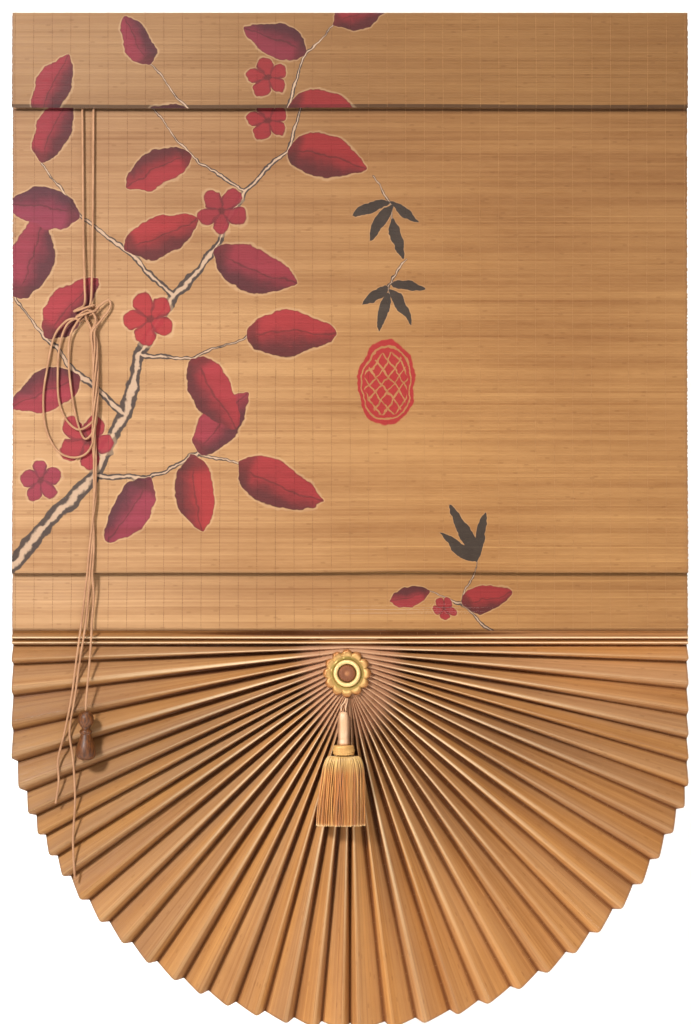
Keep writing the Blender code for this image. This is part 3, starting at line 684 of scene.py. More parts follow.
def stroke_group():
    """One brushed stroke: the least distance from any stroke so far, over its half width."""
    group, n, given, out = new_group(
        "brushed stroke",
        [
            ("Point", "Vector", None),
            ("Lengthwise", "Vector", None),
            ("From", "Vector", None),
            ("Reach", "Vector", None),
            ("Start", "Float", 0.001),
            ("Growth", "Float", 0.0),
            ("Ratio", "Float", 9.0),
        ],
        [("Ratio", "Float")],
    )
    along = n.vector("DOT_PRODUCT", given["Point"], given["Lengthwise"])
    along = n.math("MINIMUM", n.math("MAXIMUM", along, 0.0), 1.0)
    nearest = n.vector("MULTIPLY_ADD", along, given["Reach"], given["From"])
    apart = n.vector("DISTANCE", given["Point"], nearest)
    width = n.math("MULTIPLY_ADD", along, given["Growth"], given["Start"])
    ratio = n.math("MINIMUM", given["Ratio"], n.math("DIVIDE", apart, width))
    n.feed(out["Ratio"], ratio)
    return group


def lay_strokes(n, group, point, twigs):
    """Brushes the twigs; each is a list of (x, z, half width)."""
    ratio = 9.0
    for twig in twigs:
        for (x0, z0, start), (x1, z1, end) in zip(twig, twig[1:]):
            turn = math.degrees(math.atan2(z1 - z0, x1 - x0))
            stroke = use_group(
                n,
                group,
                Point=point,
                Lengthwise=measure(x0, z0, turn, math.hypot(x1 - x0, z1 - z0)),
                From=millimetres(x0, z0),
                Reach=((x1 - x0) * MM, 0.0, (z1 - z0) * MM),
                Start=start * MM,
                Growth=(end - start) * MM,
                Ratio=ratio,
            )
            ratio = stroke["Ratio"]
    return ratio


def lay_leaves(n, leaf, blossom, point):
    """Prints the leaves and then the blossoms; gives what lies on top and the nearest rim."""
    jobs = []
    for item in LEAVES:
        values = {
            "Lengthwise": measure(item.x, item.z, item.turn, item.length),
            "Crosswise": measure(item.x, item.z, item.turn + 90, item.width),
            "Bend": item.bend,
        }
        jobs.append((leaf, item, values))
    for item in BLOSSOMS:
        values = {"Centre": millimetres(item.x, item.z), "Radius": item.radius * MM}
        jobs.append((blossom, item, {**values, "Turn": item.turn}))
    over, rim = (0.0, 0.0, 0.0), -1.0
    for group, item, values in jobs:
        laid = use_group(n, group, Point=point, Tone=item.tone, Under=over, Rim=rim, **values)
        over, rim = laid["Over"], laid["Rim"]
    return over, rim


def leaf_colour(n, over, rim, mottle):
    """Crimson to purple, darker to one side, at the rim, at the foot and on the midrib."""
    side, along, tone = n.split(over)
    hue = n.times(tone, 1.0, clamp=True)
    bright, dark = (n.blend(hue, CRIMSON[k], PURPLE[k]) for k in (0, 1))
    lit = n.between(n.math("MULTIPLY_ADD", mottle, 0.8, side), -0.35, 0.75)
    shade = n.blend(lit, dark, bright)
    midrib = n.between(n.math("ABSOLUTE", side), 0.015, 0.06, 0.5, 0.0)
    edge = n.between(rim, 0.0, 0.10, 0.6, 0.0)
    foot = n.between(along, 0.10, 0.22, 0.6, 0.0)
    line = n.math("MAXIMUM", midrib, n.math("MAXIMUM", edge, foot))
    shade = n.blend(line, shade, LEAF_LINE)
    inked = n.between(tone, 1.2, 1.8)
    return n.blend(inked, shade, n.blend(mottle, INK_DARK, INK_PALE))


def lay_seal(n, point, shade):
    """An oval seal with a plain lattice left bare inside its border."""
    place = n.vector("SUBTRACT", point, millimetres(*SEAL_PLACE))
    x, _, z = n.split(place)
    wide, high = SEAL_SIZE
    reach = n.vector("LENGTH", n.vector("MULTIPLY", place, (1000 / wide, 0.0, 1000 / high)))
    bare = n.between(n.apart(reach, 0.84), 0.02, 0.035, 0.8, 0.0)
    inner = n.between(reach, 0.70, 0.74, 1.0, 0.0)
    for way in (1.0, -1.0):
        beat = n.math("FRACT", n.times(n.math("MULTIPLY_ADD", z, 0.7 * way, x), 76.0))
        bar = n.between(n.apart(beat, 0.5), 0.06, 0.11, 0.8, 0.0)
        bare = n.math("MAXIMUM", bare, n.times(bar, inner))
    stamped = n.math("SUBTRACT", n.between(reach, 0.97, 1.01, 0.94, 0.0), bare, clamp=True)
    return n.blend(stamped, shade, SEAL_RED)


def spray_group():
    """The whole print over a cloth's own colour, from a place on the cloth."""
    group, n, given, out = new_group(
        "printed spray",
        [
            ("Cloth", "Color", colour(200, 150, 105)),
            ("Place", "Vector", None),
            ("Repeat", "Float", 0.0),
        ],
        [("Color", "Color")],
    )
    leaf, blossom, stroke = leaf_group(), blossom_group(), stroke_group()
    x, _, z = n.split(given["Place"])
    z = n.math("SUBTRACT", z, given["Repeat"])
    flat = n.combine(x, 0.0, z)
    wander = n.add("ShaderNodeTexNoise", Scale=30.0, Detail=3.0, Roughness=0.6, Vector=flat)
    aside = n.split(n.vector("SUBTRACT", wander.outputs["Color"], (0.5, 0.5, 0.5)))
    wandering_x = n.math("MULTIPLY_ADD", aside[0], WANDER, x)
    point = n.combine(wandering_x, 1.0, n.math("MULTIPLY_ADD", aside[2], WANDER, z))
    mottle = n.noise(flat, 55.0, 3.0, 0.6)
    cloth = given["Cloth"]
    ratio = lay_strokes(n, stroke, point, [TWIG, *SIDE_TWIGS])
    bark = n.between(n.math("MULTIPLY_ADD", mottle, 1.5, ratio), 0.98, 1.24)
    inked = n.blend(bark, BARK, INK_EDGE)
    shade = n.blend(n.between(ratio, 0.86, 1.0, 0.92, 0.0), cloth, inked)
    over, rim = lay_leaves(n, leaf, blossom, point)
    halo = n.times(n.between(rim, -0.12, -0.03), 0.3)
    shade = n.blend(halo, shade, n.blend(0.5, cloth, HALO))
    cover = n.between(rim, 0.0, 0.05)
    # The bamboo's own streaks show through the printed colour.
    streaks = n.vector("DIVIDE", cloth, STREAKS)
    printed = n.blend(0.75, leaf_colour(n, over, rim, mottle), streaks, "MULTIPLY")
    shade = n.cover(shade, cover, 0.95, printed)
    n.feed(out["Color"], lay_seal(n, point, shade))
    return group


def printed(group, repeat, before=None):
    """A tint that prints the spray on the front faces of a cloth."""

    def tint(n, shade):
        if before:
            shade = before(n, shade)
        spray = use_group(n, group, Cloth=shade, Place=n.place(), Repeat=repeat)
        normal = n.tree.nodes.new("ShaderNodeNewGeometry").outputs["True Normal"]
        front = n.math("LESS_THAN", n.split(normal)[1], -0.2)
        return n.blend(front, shade, spray["Color"])

    return tint


# ---- weaving ---------------------------------------------------------------


def guide_lines(name, points, facing, **values):
    """Guide lines as a loose mesh: arrays of points and facings, and one array a value."""
    lines, steps, _ = points.shape
    mesh = bpy.data.meshes.new(name)
    mesh.vertices.add(lines * steps)
    mesh.vertices.foreach_set("co", points.reshape(-1).astype(np.float32))
    starts = np.arange(lines * steps).reshape(lines, steps)
    edges = np.stack([starts[:, :-1], starts[:, 1:]], axis=-1).reshape(-1)
    mesh.edges.add(lines * (steps - 1))
    mesh.edges.foreach_set("vertices", edges.astype(np.int32))
    mesh.attributes.new("facing", "FLOAT_VECTOR", "POINT").data.foreach_set(
        "vector", facing.reshape(-1).astype(np.float32)
    )
    for label, numbers in values.items():
        mesh.attributes.new(label, "FLOAT", "POINT").data.foreach_set(
            "value", np.broadcast_to(numbers, (lines, steps)).reshape(-1).astype(np.float32)
        )
    mesh.update()
    return put(name, mesh)


def geometry_tree(name, inputs):
    inputs = [("Guides", "Geometry", None), *inputs]
    return new_tree(name, "GeometryNodeTree", inputs, [("Piece", "Geometry")])


def named(n, label, kind="FLOAT"):
    node = n.add("GeometryNodeInputNamedAttribute", {"data_type": kind}, Name=label)
    return node.outputs["Attribute"]


def facing_lines(n, guides):
    """Curves along the guide lines, with the cloth's facings for normals."""
    lines = n.add("GeometryNodeMeshToCurve", Mesh=guides).outputs[0]
    facing = named(n, "facing", "FLOAT_VECTOR")
    turned_lines = n.add("GeometryNodeSetCurveNormal", {"mode": "FREE"}, Curve=lines, Normal=facing)
    return turned_lines.outputs[0]


def kept(n, geometry, label, value, domain):
    """Keeps a number under a name on each curve or each point."""
    settings = {"data_type": "FLOAT", "domain": domain}
    values = {"Geometry": geometry, "Name": label, "Value": value}
    return n.add("GeometryNodeStoreNamedAttribute", settings, **values).outputs[0]


def toned_lines(n, lines, seed):
    """Lines that each keep a random tone, and how far along them each point is."""
    chance = n.add("FunctionNodeRandomValue", {"data_type": "FLOAT"}, Seed=seed)
    lines = kept(n, lines, "tone", chance.outputs[1], "CURVE")
    length = n.add("GeometryNodeSplineParameter").outputs["Length"]
    return kept(n, lines, "along", length, "POINT")


def round_outline(n, radius, sides):
    circle = n.add("GeometryNodeCurvePrimitiveCircle", Resolution=sides, Radius=radius)
    return circle.outputs["Curve"]


def finish_tree(n, geometry, given, out):
    real = n.add("GeometryNodeRealizeInstances", Geometry=geometry).outputs[0]
    coated = n.add("GeometryNodeSetMaterial", Geometry=real, Material=given["Finish"])
    n.feed(out["Piece"], coated.outputs[0])


def splint_tree():
    """Each guide line becomes one splint: a flat strip with its four long edges chamfered."""
    tree, n, given, out = geometry_tree(
        "splints",
        [
            ("Width share", "Float", 1.03),
            ("Thickness share", "Float", 0.44),
            ("Chamfer share", "Float", 0.09),
            ("Unevenness", "Float", 0.02),
            ("Seed", "Int", 1),
            ("Finish", "Material", None),
        ],
    )
    lines = toned_lines(n, facing_lines(n, given["Guides"]), given["Seed"])
    thickness = given["Thickness share"]
    strip = n.add("GeometryNodeCurvePrimitiveQuadrilateral", Height=1.0, Width=thickness)
    strip = strip.outputs["Curve"]
    outline = n.add("GeometryNodeFilletCurve", {"mode": "POLY"}, Curve=strip, Count=1)
    n.feed(outline.inputs["Radius"], given["Chamfer share"])
    stray = n.times(n.math("SUBTRACT", named(n, "tone"), 0.5), given["Unevenness"])
    width = n.times(named(n, "breadth"), n.math("ADD", given["Width share"], stray))
    values = {"Curve": lines, "Profile_Curve": outline.outputs[0], "Scale": width}
    body = n.add("GeometryNodeCurveToMesh", Fill_Caps=True, **values).outputs[0]
    flat = n.add("GeometryNodeSetShadeSmooth", Geometry=body, Shade_Smooth=False)
    finish_tree(n, flat.outputs[0], given, out)
    return tree


def thread_tree():
    """Each guide line becomes one warp thread that passes over a splint and under the next.

    In a pair, the second thread's turn is one, so that it goes under where the first goes over.
    """
    tree, n, given, out = geometry_tree(
        "warp threads",
        [
            ("Thread radius", "Float", 0.24 * MM),
            ("Lift", "Float", 0.55 * MM),
            ("Finish", "Material", None),
        ],
    )
    lines = facing_lines(n, given["Guides"])
    count = n.add("GeometryNodeSplineParameter").outputs["Index"]
    count = n.math("ADD", count, named(n, "turn"))
    over = n.math("SUBTRACT", n.times(n.math("MODULO", count, 2.0), 2.0), 1.0)
    move = n.scale(named(n, "facing", "FLOAT_VECTOR"), n.times(over, given["Lift"]))
    lines = n.add("GeometryNodeSetPosition", Geometry=lines, Offset=move).outputs[0]
    outline = round_outline(n, given["Thread radius"], 3)
    body = n.add("GeometryNodeCurveToMesh", Curve=lines, Profile_Curve=outline, Fill_Caps=True)
    finish_tree(n, body.outputs[0], given, out)
    return tree


def weave(name, guide, tree, finish, **settings):
    """Runs a tree on its guide lines and keeps the result as a plain mesh piece."""
    maker = guide.modifiers.new("weave", "NODES")
    maker.node_group = tree
    values = {"Finish": finish, **{key.replace("_", " "): value for key, value in settings.items()}}
    for item in tree.interface.items_tree:
        if item.in_out == "INPUT" and item.name in values:
            maker[item.identifier] = values[item.name]
    graph = bpy.context.evaluated_depsgraph_get()
    mesh = bpy.data.meshes.new_from_object(guide.evaluated_get(graph))
    guide.modifiers.remove(maker)
    mesh.name = name
    piece = put(name, mesh)
    data = guide.data
    bpy.data.objects.remove(guide, do_unlink=True)
    bpy.data.meshes.remove(data)
    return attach(piece, ROOT)


# ---- hanging cloths --------------------------------------------------------

SPLINT_STEPS = 16  # lengths that a splint across the blind is bent in
HEM_SPLINTS = 2  # splints along a hem painted dark: painted shade that widens the shadow line under it
LIP_PAINTED_SHADE = 0.45  # how strong the painted shade is on the lip of a fold with no painted dark hem
RAGGED = 0.7 * MM  # how much shorter a splint may be at each end
WAVE = 0.04 * MM  # how far a splint bends to and fro along the cloth
PROUD = 0.12  # how far a splint stands out or in, in millimetres
WARP = {"Thread_radius": 0.3 * MM, "Lift": 0.75 * MM}
WARP_WANDER = 0.25 * MM


def arc(centre_y, centre_z, radius, start, end, steps):
    """Points (y, z) on an arc; angles in degrees, 0 towards +Y and 90 up."""
    angles = [math.radians(mix(start, end, k / steps)) for k in range(steps + 1)]
    return [(centre_y + radius * math.cos(a), centre_z + radius * math.sin(a)) for a in angles]


def eased(y0, z0, y1, z1, steps=24):
    """Points (y, z) of a cloth that swings softly from one plane to another."""
    shares = [k / steps for k in range(steps + 1)]
    return [(mix(y0, y1, smooth_step(s)), mix(z0, z1, s)) for s in shares]


def valance_section():
    back_y = -CLOTH / 2
    bend_y = back_y - VALANCE_BEND
    bend_z = -CLOTH / 2 - VALANCE_BEND
    front_y = bend_y - VALANCE_BEND
    section = [(back_y, -VALANCE_BACK)]
    section += arc(bend_y, bend_z, VALANCE_BEND, 0, 180, 16)
    section += eased(front_y, bend_z - 8 * MM, front_y - VALANCE_FLARE, -VALANCE_DROP)
    return section


def valance_sway(x, z):
    loose = np.where(z < -40 * MM, smooth_share(-z / VALANCE_DROP), 0.0)
    return -0.5 * MM * loose * np.sin(9.0 * x + 0.6), 0.5 * MM * loose * np.sin(13.0 * x + 1.1)


def panel_section():
    bend_z = FOLD_Z + CLOTH / 2 + FOLD_BEND
    return_y = FOLD_Y + 2 * FOLD_BEND
    tier_top_y = return_y + 2 * BACK_BEND
    tier_bend_z = TIER_Z + CLOTH / 2 + TIER_BEND
    section = [(PANEL_Y, PANEL_TOP)]
    section += eased(PANEL_Y, -440 * MM, FOLD_Y, bend_z + 12 * MM, 40)
    section += arc(FOLD_Y + FOLD_BEND, bend_z, FOLD_BEND, 180, 360, 14)
    section += arc(return_y + BACK_BEND, bend_z + FOLD_RETURN, BACK_BEND, 180, 0, 12)
    section += eased(tier_top_y, bend_z + 8 * MM, TIER_Y, tier_bend_z + 14 * MM)
    section += arc(TIER_Y + TIER_BEND, tier_bend_z, TIER_BEND, 180, 360, 18)
    section += [(TIER_Y + 2 * TIER_BEND, tier_bend_z + TIER_TAIL)]
    return section


def panel_sway(x, z):
    near, under = (-z - 500 * MM) / (140 * MM), (-z - 690 * MM) / (30 * MM)
    hold = smooth_share(near) * (1 - smooth_share(under))
    wander = 0.8 * np.sin(8.2 * x + 0.9) + 0.5 * np.sin(21.0 * x)
    return 0.0 * x, wander * MM * hold


def sampled(section, pitch):
    """Places, headings and running lengths at equal steps along a section (y, z)."""
    points = np.array(section)
    run = np.concatenate([[0.0], np.cumsum(np.linalg.norm(np.diff(points, axis=0), axis=1))])
    count = int(run[-1] / pitch)
    at = (np.arange(count) + 0.5) * (run[-1] / count)

    def along(distance):
        return np.stack([np.interp(distance, run, points[:, k]) for k in (0, 1)], axis=1)

    heading = along(at + 0.4 * pitch) - along(at - 0.4 * pitch)
    heading /= np.linalg.norm(heading, axis=1, keepdims=True)
    return along(at), heading, at, run[-1]


def hang_cloth(name, section, sway, trees, finish, thread_finish, seed, painted_hem_shade):
    """One hanging cloth: its splints, and the warp threads that hold them."""
    place, heading, run, length = sampled(section, SPLINT_PITCH)
    chance = np.random.default_rng(seed)
    count = len(run)
    inner = WIDTH / 2 - END_BIND
    bent = np.linspace(-inner, inner, SPLINT_STEPS - 1)
    across = np.concatenate([[-WIDTH / 2], bent, [WIDTH / 2]])
    bound = np.zeros(across.shape)
    bound[[0, -1]] = 1.0
    x = np.repeat(across[None, :], count, axis=0)
    x[:, 0] += chance.uniform(0.0, RAGGED, count)
    x[:, -1] -= chance.uniform(0.0, RAGGED, count)
    beats, phases = chance.uniform(9, 26, (count, 1)), chance.uniform(0, 6.3, (count, 1))
    wave = WAVE * np.sin(beats * x + phases)
    proud = chance.uniform(-PROUD, PROUD, (count, 1)) * MM

    def settled(x, wave, proud):
        y = place[:, :1] + heading[:, :1] * wave + heading[:, 1:] * proud
        z = place[:, 1:] + heading[:, 1:] * wave - heading[:, :1] * proud
        move_y, move_z = sway(x, z)
        return np.stack([x, y + move_y, z + move_z], axis=-1)

    facing = np.stack([0 * run, heading[:, 1], -heading[:, 0]], axis=-1)
    points = settled(x, wave, proud)
    # Painted shade: splints that face downwards are darkened, fully where the hem is painted dark,
    # and the last splints of such a hem are darkened all through.
    stain = np.clip((-facing[:, 2] - 0.35) / 0.4, 0.0, 1.0) * (1.0 if painted_hem_shade else LIP_PAINTED_SHADE)
    stain[-HEM_SPLINTS if painted_hem_shade else count :] = 1.0
    guide = guide_lines(
        name + "_guide",
        points,
        np.repeat(facing[:, None, :], SPLINT_STEPS + 1, axis=1),
        breadth=length / count,
        run=run[:, None],
        stain=stain[:, None],
        bound=bound[None, :],
    )
    cloth = weave(name, guide, trees["splints"], finish, Seed=seed)
    strings = int(WIDTH / STRING_PITCH / 2)
    string_x = np.repeat(np.arange(-strings, strings + 1) * STRING_PITCH, 2)
    turn = np.arange(len(string_x)) % 2.0
    wander = np.sin(run[:, None] * 40.0 + string_x[None, :] * 300.0)
    string_x = string_x[None, :] + WARP_WANDER * wander
    threads = settled(string_x, 0.0 * string_x, 0.0).transpose(1, 0, 2)
    guide = guide_lines(
        name + "_thread_guide",
        threads,
        np.repeat(facing[None, :, :], threads.shape[0], axis=0),
        turn=turn[:, None],
    )
    warp = weave(name + "_threads", guide, trees["threads"], thread_finish, **WARP)
    return cloth, warp, length


# ---- fan -------------------------------------------------------------------

# A line of the fan's cloth: the height of its middle, its angle below level, how far it
# stands from valley (0) to crest (1), how far its end stays inside the rim, and its painted shade.
Line = namedtuple("Line", "middle angle level trim stain")
SIDE_TRIM = 0.15  # share of a line's trim that counts where it meets a straight side
# Level pleats above the spreading ones: height, level and painted shade, which stands for the
# shadow under the tier's lip.
LEVEL_PLEATS = [
    (FAN_TOP, 0.32, 0.3),
    (-736.0 * MM, 0.10, 0.6),
    (-740.3 * MM, 0.85, 0.0),
    (-743.0 * MM, 0.05, 0.35),
    (-746.2 * MM, 0.85, 0.05),
]
HELD_ABOVE = -742 * MM  # pleats above this keep their depth across the middle

# One spreading pleat: a wide flat face up to its crest, then a narrow return, with painted shade
# deepest in its valley.
PleatPoint = namedtuple("PleatPoint", "share level trim stain")
PLEAT = [
    PleatPoint(0.00, 0.00, 6.5 * MM, 1.0),
    PleatPoint(0.38, 0.54, 3.2 * MM, 0.15),
    PleatPoint(0.69, 0.96, 0.5 * MM, 0.0),
    PleatPoint(0.76, 1.00, 0.0 * MM, 0.0),
    PleatPoint(0.83, 0.86, 1.0 * MM, 0.5),
]

# How the pleats of one half spread: the angle at which they are drawn tightest, over
# how many degrees, by what share, how much wider the lowest ones are, and a seed for
# how they stray.
Gather = namedtuple("Gather", "tightest spread squeeze ease seed")
LEFT_GATHER = Gather(29.0, 10.0, 0.35, 0.0, 7)
RIGHT_GATHER = Gather(22.0, 14.0, 0.30, 0.4, 12)
FIRST_PLEAT = 0.55  # share of a pleat's width: the first is half under the level ones
FAN_STATIONS = np.array([0, 8, 17, 28, 42, 62, 85, 120, 170, 240, 320]) * MM
FIRST_STRING, LAST_STRING = 36 * MM, 392 * MM  # warp threads, by distance from the middle


def pleat_edges(gather):
    """Angles below level of the valleys between the spreading pleats of one half."""
    edges = [0.0]
    for k in range(PLEATS):
        angle = 90.0 * k / PLEATS
        pinch = math.exp(-(((angle - gather.tightest) / gather.spread) ** 2))
        width = (1.0 + gather.ease * angle / 90.0) * (1.0 - gather.squeeze * pinch)
        edges.append(edges[-1] + width * (FIRST_PLEAT if k == 0 else 1.0))
    return [90.0 * edge / edges[-1] for edge in edges]


def fan_lines(gather):
    """The creases of one half, from the top edge to straight down."""
    stray = random.Random(gather.seed)
    lines = [Line(z, 0.0, level, 0.0, stain) for z, level, stain in LEVEL_PLEATS]
    edges = pleat_edges(gather)
    for k in range(1, PLEATS):
        edges[k] += stray.uniform(-FAN_UNEVEN, FAN_UNEVEN)
    for k in range(PLEATS):
        height = stray.uniform(0.92, 1.0)
        for point in PLEAT:
            plain = math.radians(90.0 * (k + point.share) / PLEATS)
            angle = math.radians(mix(edges[k], edges[k + 1], point.share))
            middle = PINCH_TOP - PINCH_HEIGHT * math.sin(plain)
            lines.append(Line(middle, angle, point.level * height, point.trim, point.stain))
    lines.append(Line(PINCH_TOP - PINCH_HEIGHT, math.radians(90), 0.0, PLEAT[0].trim, 1.0))
    return np.array(lines)


def fan_reach(lines, side):
    """Length of each line from the middle to the round rim or the straight side."""
    middle, angle, _, trim, _ = lines.T
    across, down = side * np.cos(angle), -np.sin(angle)
    from_x, from_z = -RIM_X, middle - RIM_Z
    along = from_x * across + from_z * down
    to_rim = -along + np.sqrt(along**2 - from_x**2 - from_z**2 + RIM_RADIUS**2)
    to_side = WIDTH / 2 / np.maximum(np.abs(across), 0.01)
    return np.minimum(to_rim - trim, to_side - trim * SIDE_TRIM)


def fan_places(lines, side, radius, span):
    """Middle of the cloth on each line at the given distances from the fan's middle."""
    middle, angle, level, _, _ = (column[:, None] for column in lines.T)
    crest = mix(FAN_FRONT, FAN_RIM_FRONT, smooth_share(radius / span[:, None]))
    opened = smooth_share((radius - 8 * MM) / (58 * MM))
    held = np.where((middle > HELD_ABOVE) & (angle == 0), 0.75, 0.0)
    depth = mix(2.0 * MM, FAN_DEPTH, np.maximum(opened, held))
    valley = np.minimum(crest + depth, FAN_BACK)
    y = mix(valley, crest, level) + 0.6 * MM
    x = side * radius * np.cos(angle) + 0 * y
    z = middle - radius * np.sin(angle) + 0 * y
    return np.stack([x, y, z], axis=-1)


def splint_lines(lines, side):
    """Lines a splint's width apart, worked out from the creases where the cloth is open."""
    span = fan_reach(lines, side)
    rim = fan_places(lines, side, span[:, None] * 0.98, span)[:, 0, :]
    gaps = np.linalg.norm(np.diff(rim, axis=0), axis=1)
    shares = []
    for k, gap in enumerate(gaps):
        count = max(1, round(gap / SPLINT_PITCH))
        shares += [k + (j + 0.5) / count for j in range(count)]
    shares = np.array(shares)
    columns = [np.interp(shares, np.arange(len(lines)), column) for column in lines.T]
    return np.stack(columns, axis=1), float(gaps.sum())


def facing_of(points):
    """Outward facing and local pitch at each point of a sheet of lines."""
    across = np.gradient(points, axis=0)
    along = np.gradient(points, axis=1)
    along /= np.maximum(np.linalg.norm(along, axis=-1, keepdims=True), 1e-9)
    facing = np.cross(across, along)
    facing /= np.maximum(np.linalg.norm(facing, axis=-1, keepdims=True), 1e-12)
    facing *= np.where(facing[..., 1:2] > 0, -1.0, 1.0)
    straight = across - (across * along).sum(axis=-1, keepdims=True) * along
    return facing, np.linalg.norm(straight, axis=-1)


def fold_fan(trees, finish, thread_finish):
    """Both halves of the fan, as one cloth of splints and one web of threads."""
    halves, strings, flat_length = [], [], 0.0
    for side, gather in ((-1, LEFT_GATHER), (1, RIGHT_GATHER)):
        lines, flat = splint_lines(fan_lines(gather), side)
        flat_length = max(flat_length, flat)
        span = fan_reach(lines, side)
        ends = np.stack([span - END_BIND, span], axis=1)
        radius = np.concatenate([np.repeat(FAN_STATIONS[None, :], len(span), axis=0), ends], axis=1)
        points = fan_places(lines, side, radius, span)
        facing, breadth = facing_of(points)
        run = np.arange(len(span))[:, None] * SPLINT_PITCH + 0.0 * radius
        run += 3.0 if side > 0 else 0.0  # so that the halves' patterns differ
        bound = np.zeros(radius.shape)
        bound[:, -1] = 1.0
        level, stain = lines[:, 2:3] + 0.0 * radius, lines[:, 4:5] + 0.0 * radius
        halves.append((points, facing, breadth, run, level, stain, bound))
        for distance in np.arange(FIRST_STRING, LAST_STRING, STRING_PITCH):
            at = np.stack([np.full(len(span), distance - MM), np.full(len(span), distance)], axis=1)
            near = fan_places(lines, side, at, span)
            turned = facing_of(near)[0][:, 1]
            strings.append((near[:, 1], turned))
    points, facing, *numbers = (np.concatenate(columns) for columns in zip(*halves))
    values = dict(zip(("breadth", "run", "level", "stain", "bound"), numbers))
    guide = guide_lines("fan_guide", points, facing, **values)
    fan = weave("fan_cloth", guide, trees["splints"], finish, Seed=5)
    longest = max(len(points) for points, _ in strings)
    padded = []
    for columns in strings:
        missing = longest - len(columns[0])
        padded.append([np.concatenate([c, np.repeat(c[-1:], missing, axis=0)]) for c in columns])
    points, facing = (np.stack(columns) for columns in zip(*padded))
    guide = guide_lines("fan_thread_guide", points, facing)
    warp = weave("fan_threads", guide, trees["threads"], thread_finish)
    return fan, warp, flat_length


# ---- cords -----------------------------------------------------------------

TOP_LEFT = places(
    (-317, -6.7, -84.3),
    (-316.6, -6.7, -130),
    (-316, -7.1, -200),
    (-315.4, -7.7, -270),
    (-314, -8.9, -322),
    (-313.4, -9.7, -340.7),
)
TOP_RIGHT = places(
    (-303.5, -6.7, -84.3),
    (-303.6, -6.7, -130),
    (-304, -7.1, -200),
    (-304.6, -7.7, -270),
    (-305.6, -8.9, -322),
    (-306.4, -9.7, -340.7),
)
BUNDLE = places(
    (-310, -10.2, -356),
    (-305, -9.8, -372),
    (-301.4, -8.8, -400),
    (-300.8, -8.8, -440),
    (-301.4, -10.4, -490),
    (-302.8, -12.4, -530),
    (-302.4, -15.0, -570),
    (-303.4, -17.4, -620),
    (-306, -18.3, -650),
    (-307.2, -18.5, -664),
)
OUTER_LOOP = places(
    (-324, -10.2, -363),
    (-336, -8.6, -366),
    (-350, -7.4, -384),
    (-358, -6.8, -420),
    (-363, -6.6, -456),
    (-360, -8.2, -492),
    (-347, -9.8, -518),
    (-330, -10.4, -527),
    (-314, -10.6, -524),
    (-305, -10.8, -512),
)
MIDDLE_LOOP = places(
    (-324, -10.0, -362),
    (-336, -9.0, -372),
    (-344, -7.6, -398),
    (-346, -7.0, -436),
    (-344, -7.2, -462),
    (-336, -7.8, -482),
    (-322, -9.2, -494),
    (-308, -10.2, -488),
)
INNER_LOOP = places(
    (-322, -10.6, -366),
    (-331, -9.6, -384),
    (-333, -8.2, -412),
    (-330, -7.6, -446),
    (-324, -7.8, -480),
    (-315, -9.2, -504),
    (-306, -10.0, -500),
)
BACK_LOOP = places(
    (-304, -10.4, -356),
    (-294, -9.6, -346),
    (-285, -8.4, -341),
    (-284, -7.6, -350),
    (-294, -8.8, -364),
    (-301, -9.8, -374),
)
TO_KNOB = places(
    (-304.2, -18.5, -664.3),
    (-302.6, -18.5, -690),
    (-304.6, -18.7, -722),
    (-306, -19.9, -750),
    (-308.6, -23.3, -786),
    (-311, -27.6, -816),
    (-311, -28.4, -825.7),
)
TAIL_LONG = places(
    (-307.2, -18.5, -664.3),
    (-308.6, -18.5, -690),
    (-313, -18.3, -730),
    (-318.6, -18.1, -765),
    (-325, -17.9, -812),
    (-331, -17.9, -850),
    (-327, -17.9, -884),
    (-324.6, -17.9, -930),
    (-327, -17.7, -980),
    (-325, -17.5, -1024),
)
TAIL_SHORT = places(
    (-310.2, -18.5, -664.3),
    (-313.2, -18.5, -690),
    (-318, -18.3, -730),
    (-322.8, -18.1, -765),
    (-329, -17.9, -812),
    (-337, -17.9, -852),
    (-344.6, -17.9, -884),
    (-344, -17.7, -910),
    (-347.6, -17.7, -936),
)
KNOT = Vector((-312.6, -10.4, -354.6)) * MM
KNOT_TURN = math.radians(24)
KNOT_REACH, KNOT_HALF, KNOT_DEPTH = 12.5 * MM, 7.5, 4.4 * MM
KNOT_STEPS = 10  # points on each turn round the bundle
# From a run up the bundle, over inside the knot and down the bundle again.
TURN_BACK = places(
    (-299.5, -9.6, -368),
    (-302.5, -10.0, -357),
    (-309, -10.6, -353),
    (-312.5, -11.0, -360),
    (-308, -10.6, -371),
)
TURN_BEHIND = places(
    (-300, -7.4, -368),
    (-304, -7.0, -357),
    (-310, -7.4, -352),
    (-313, -8.0, -360),
    (-308, -8.4, -372),
)
OVER_KNOT = places((-300.5, -11.2, -366), (-305, -12.6, -355), (-313, -12.6, -354))
INTO_KNOT = places((-309, -10.6, -352), (-315, -11.2, -358))


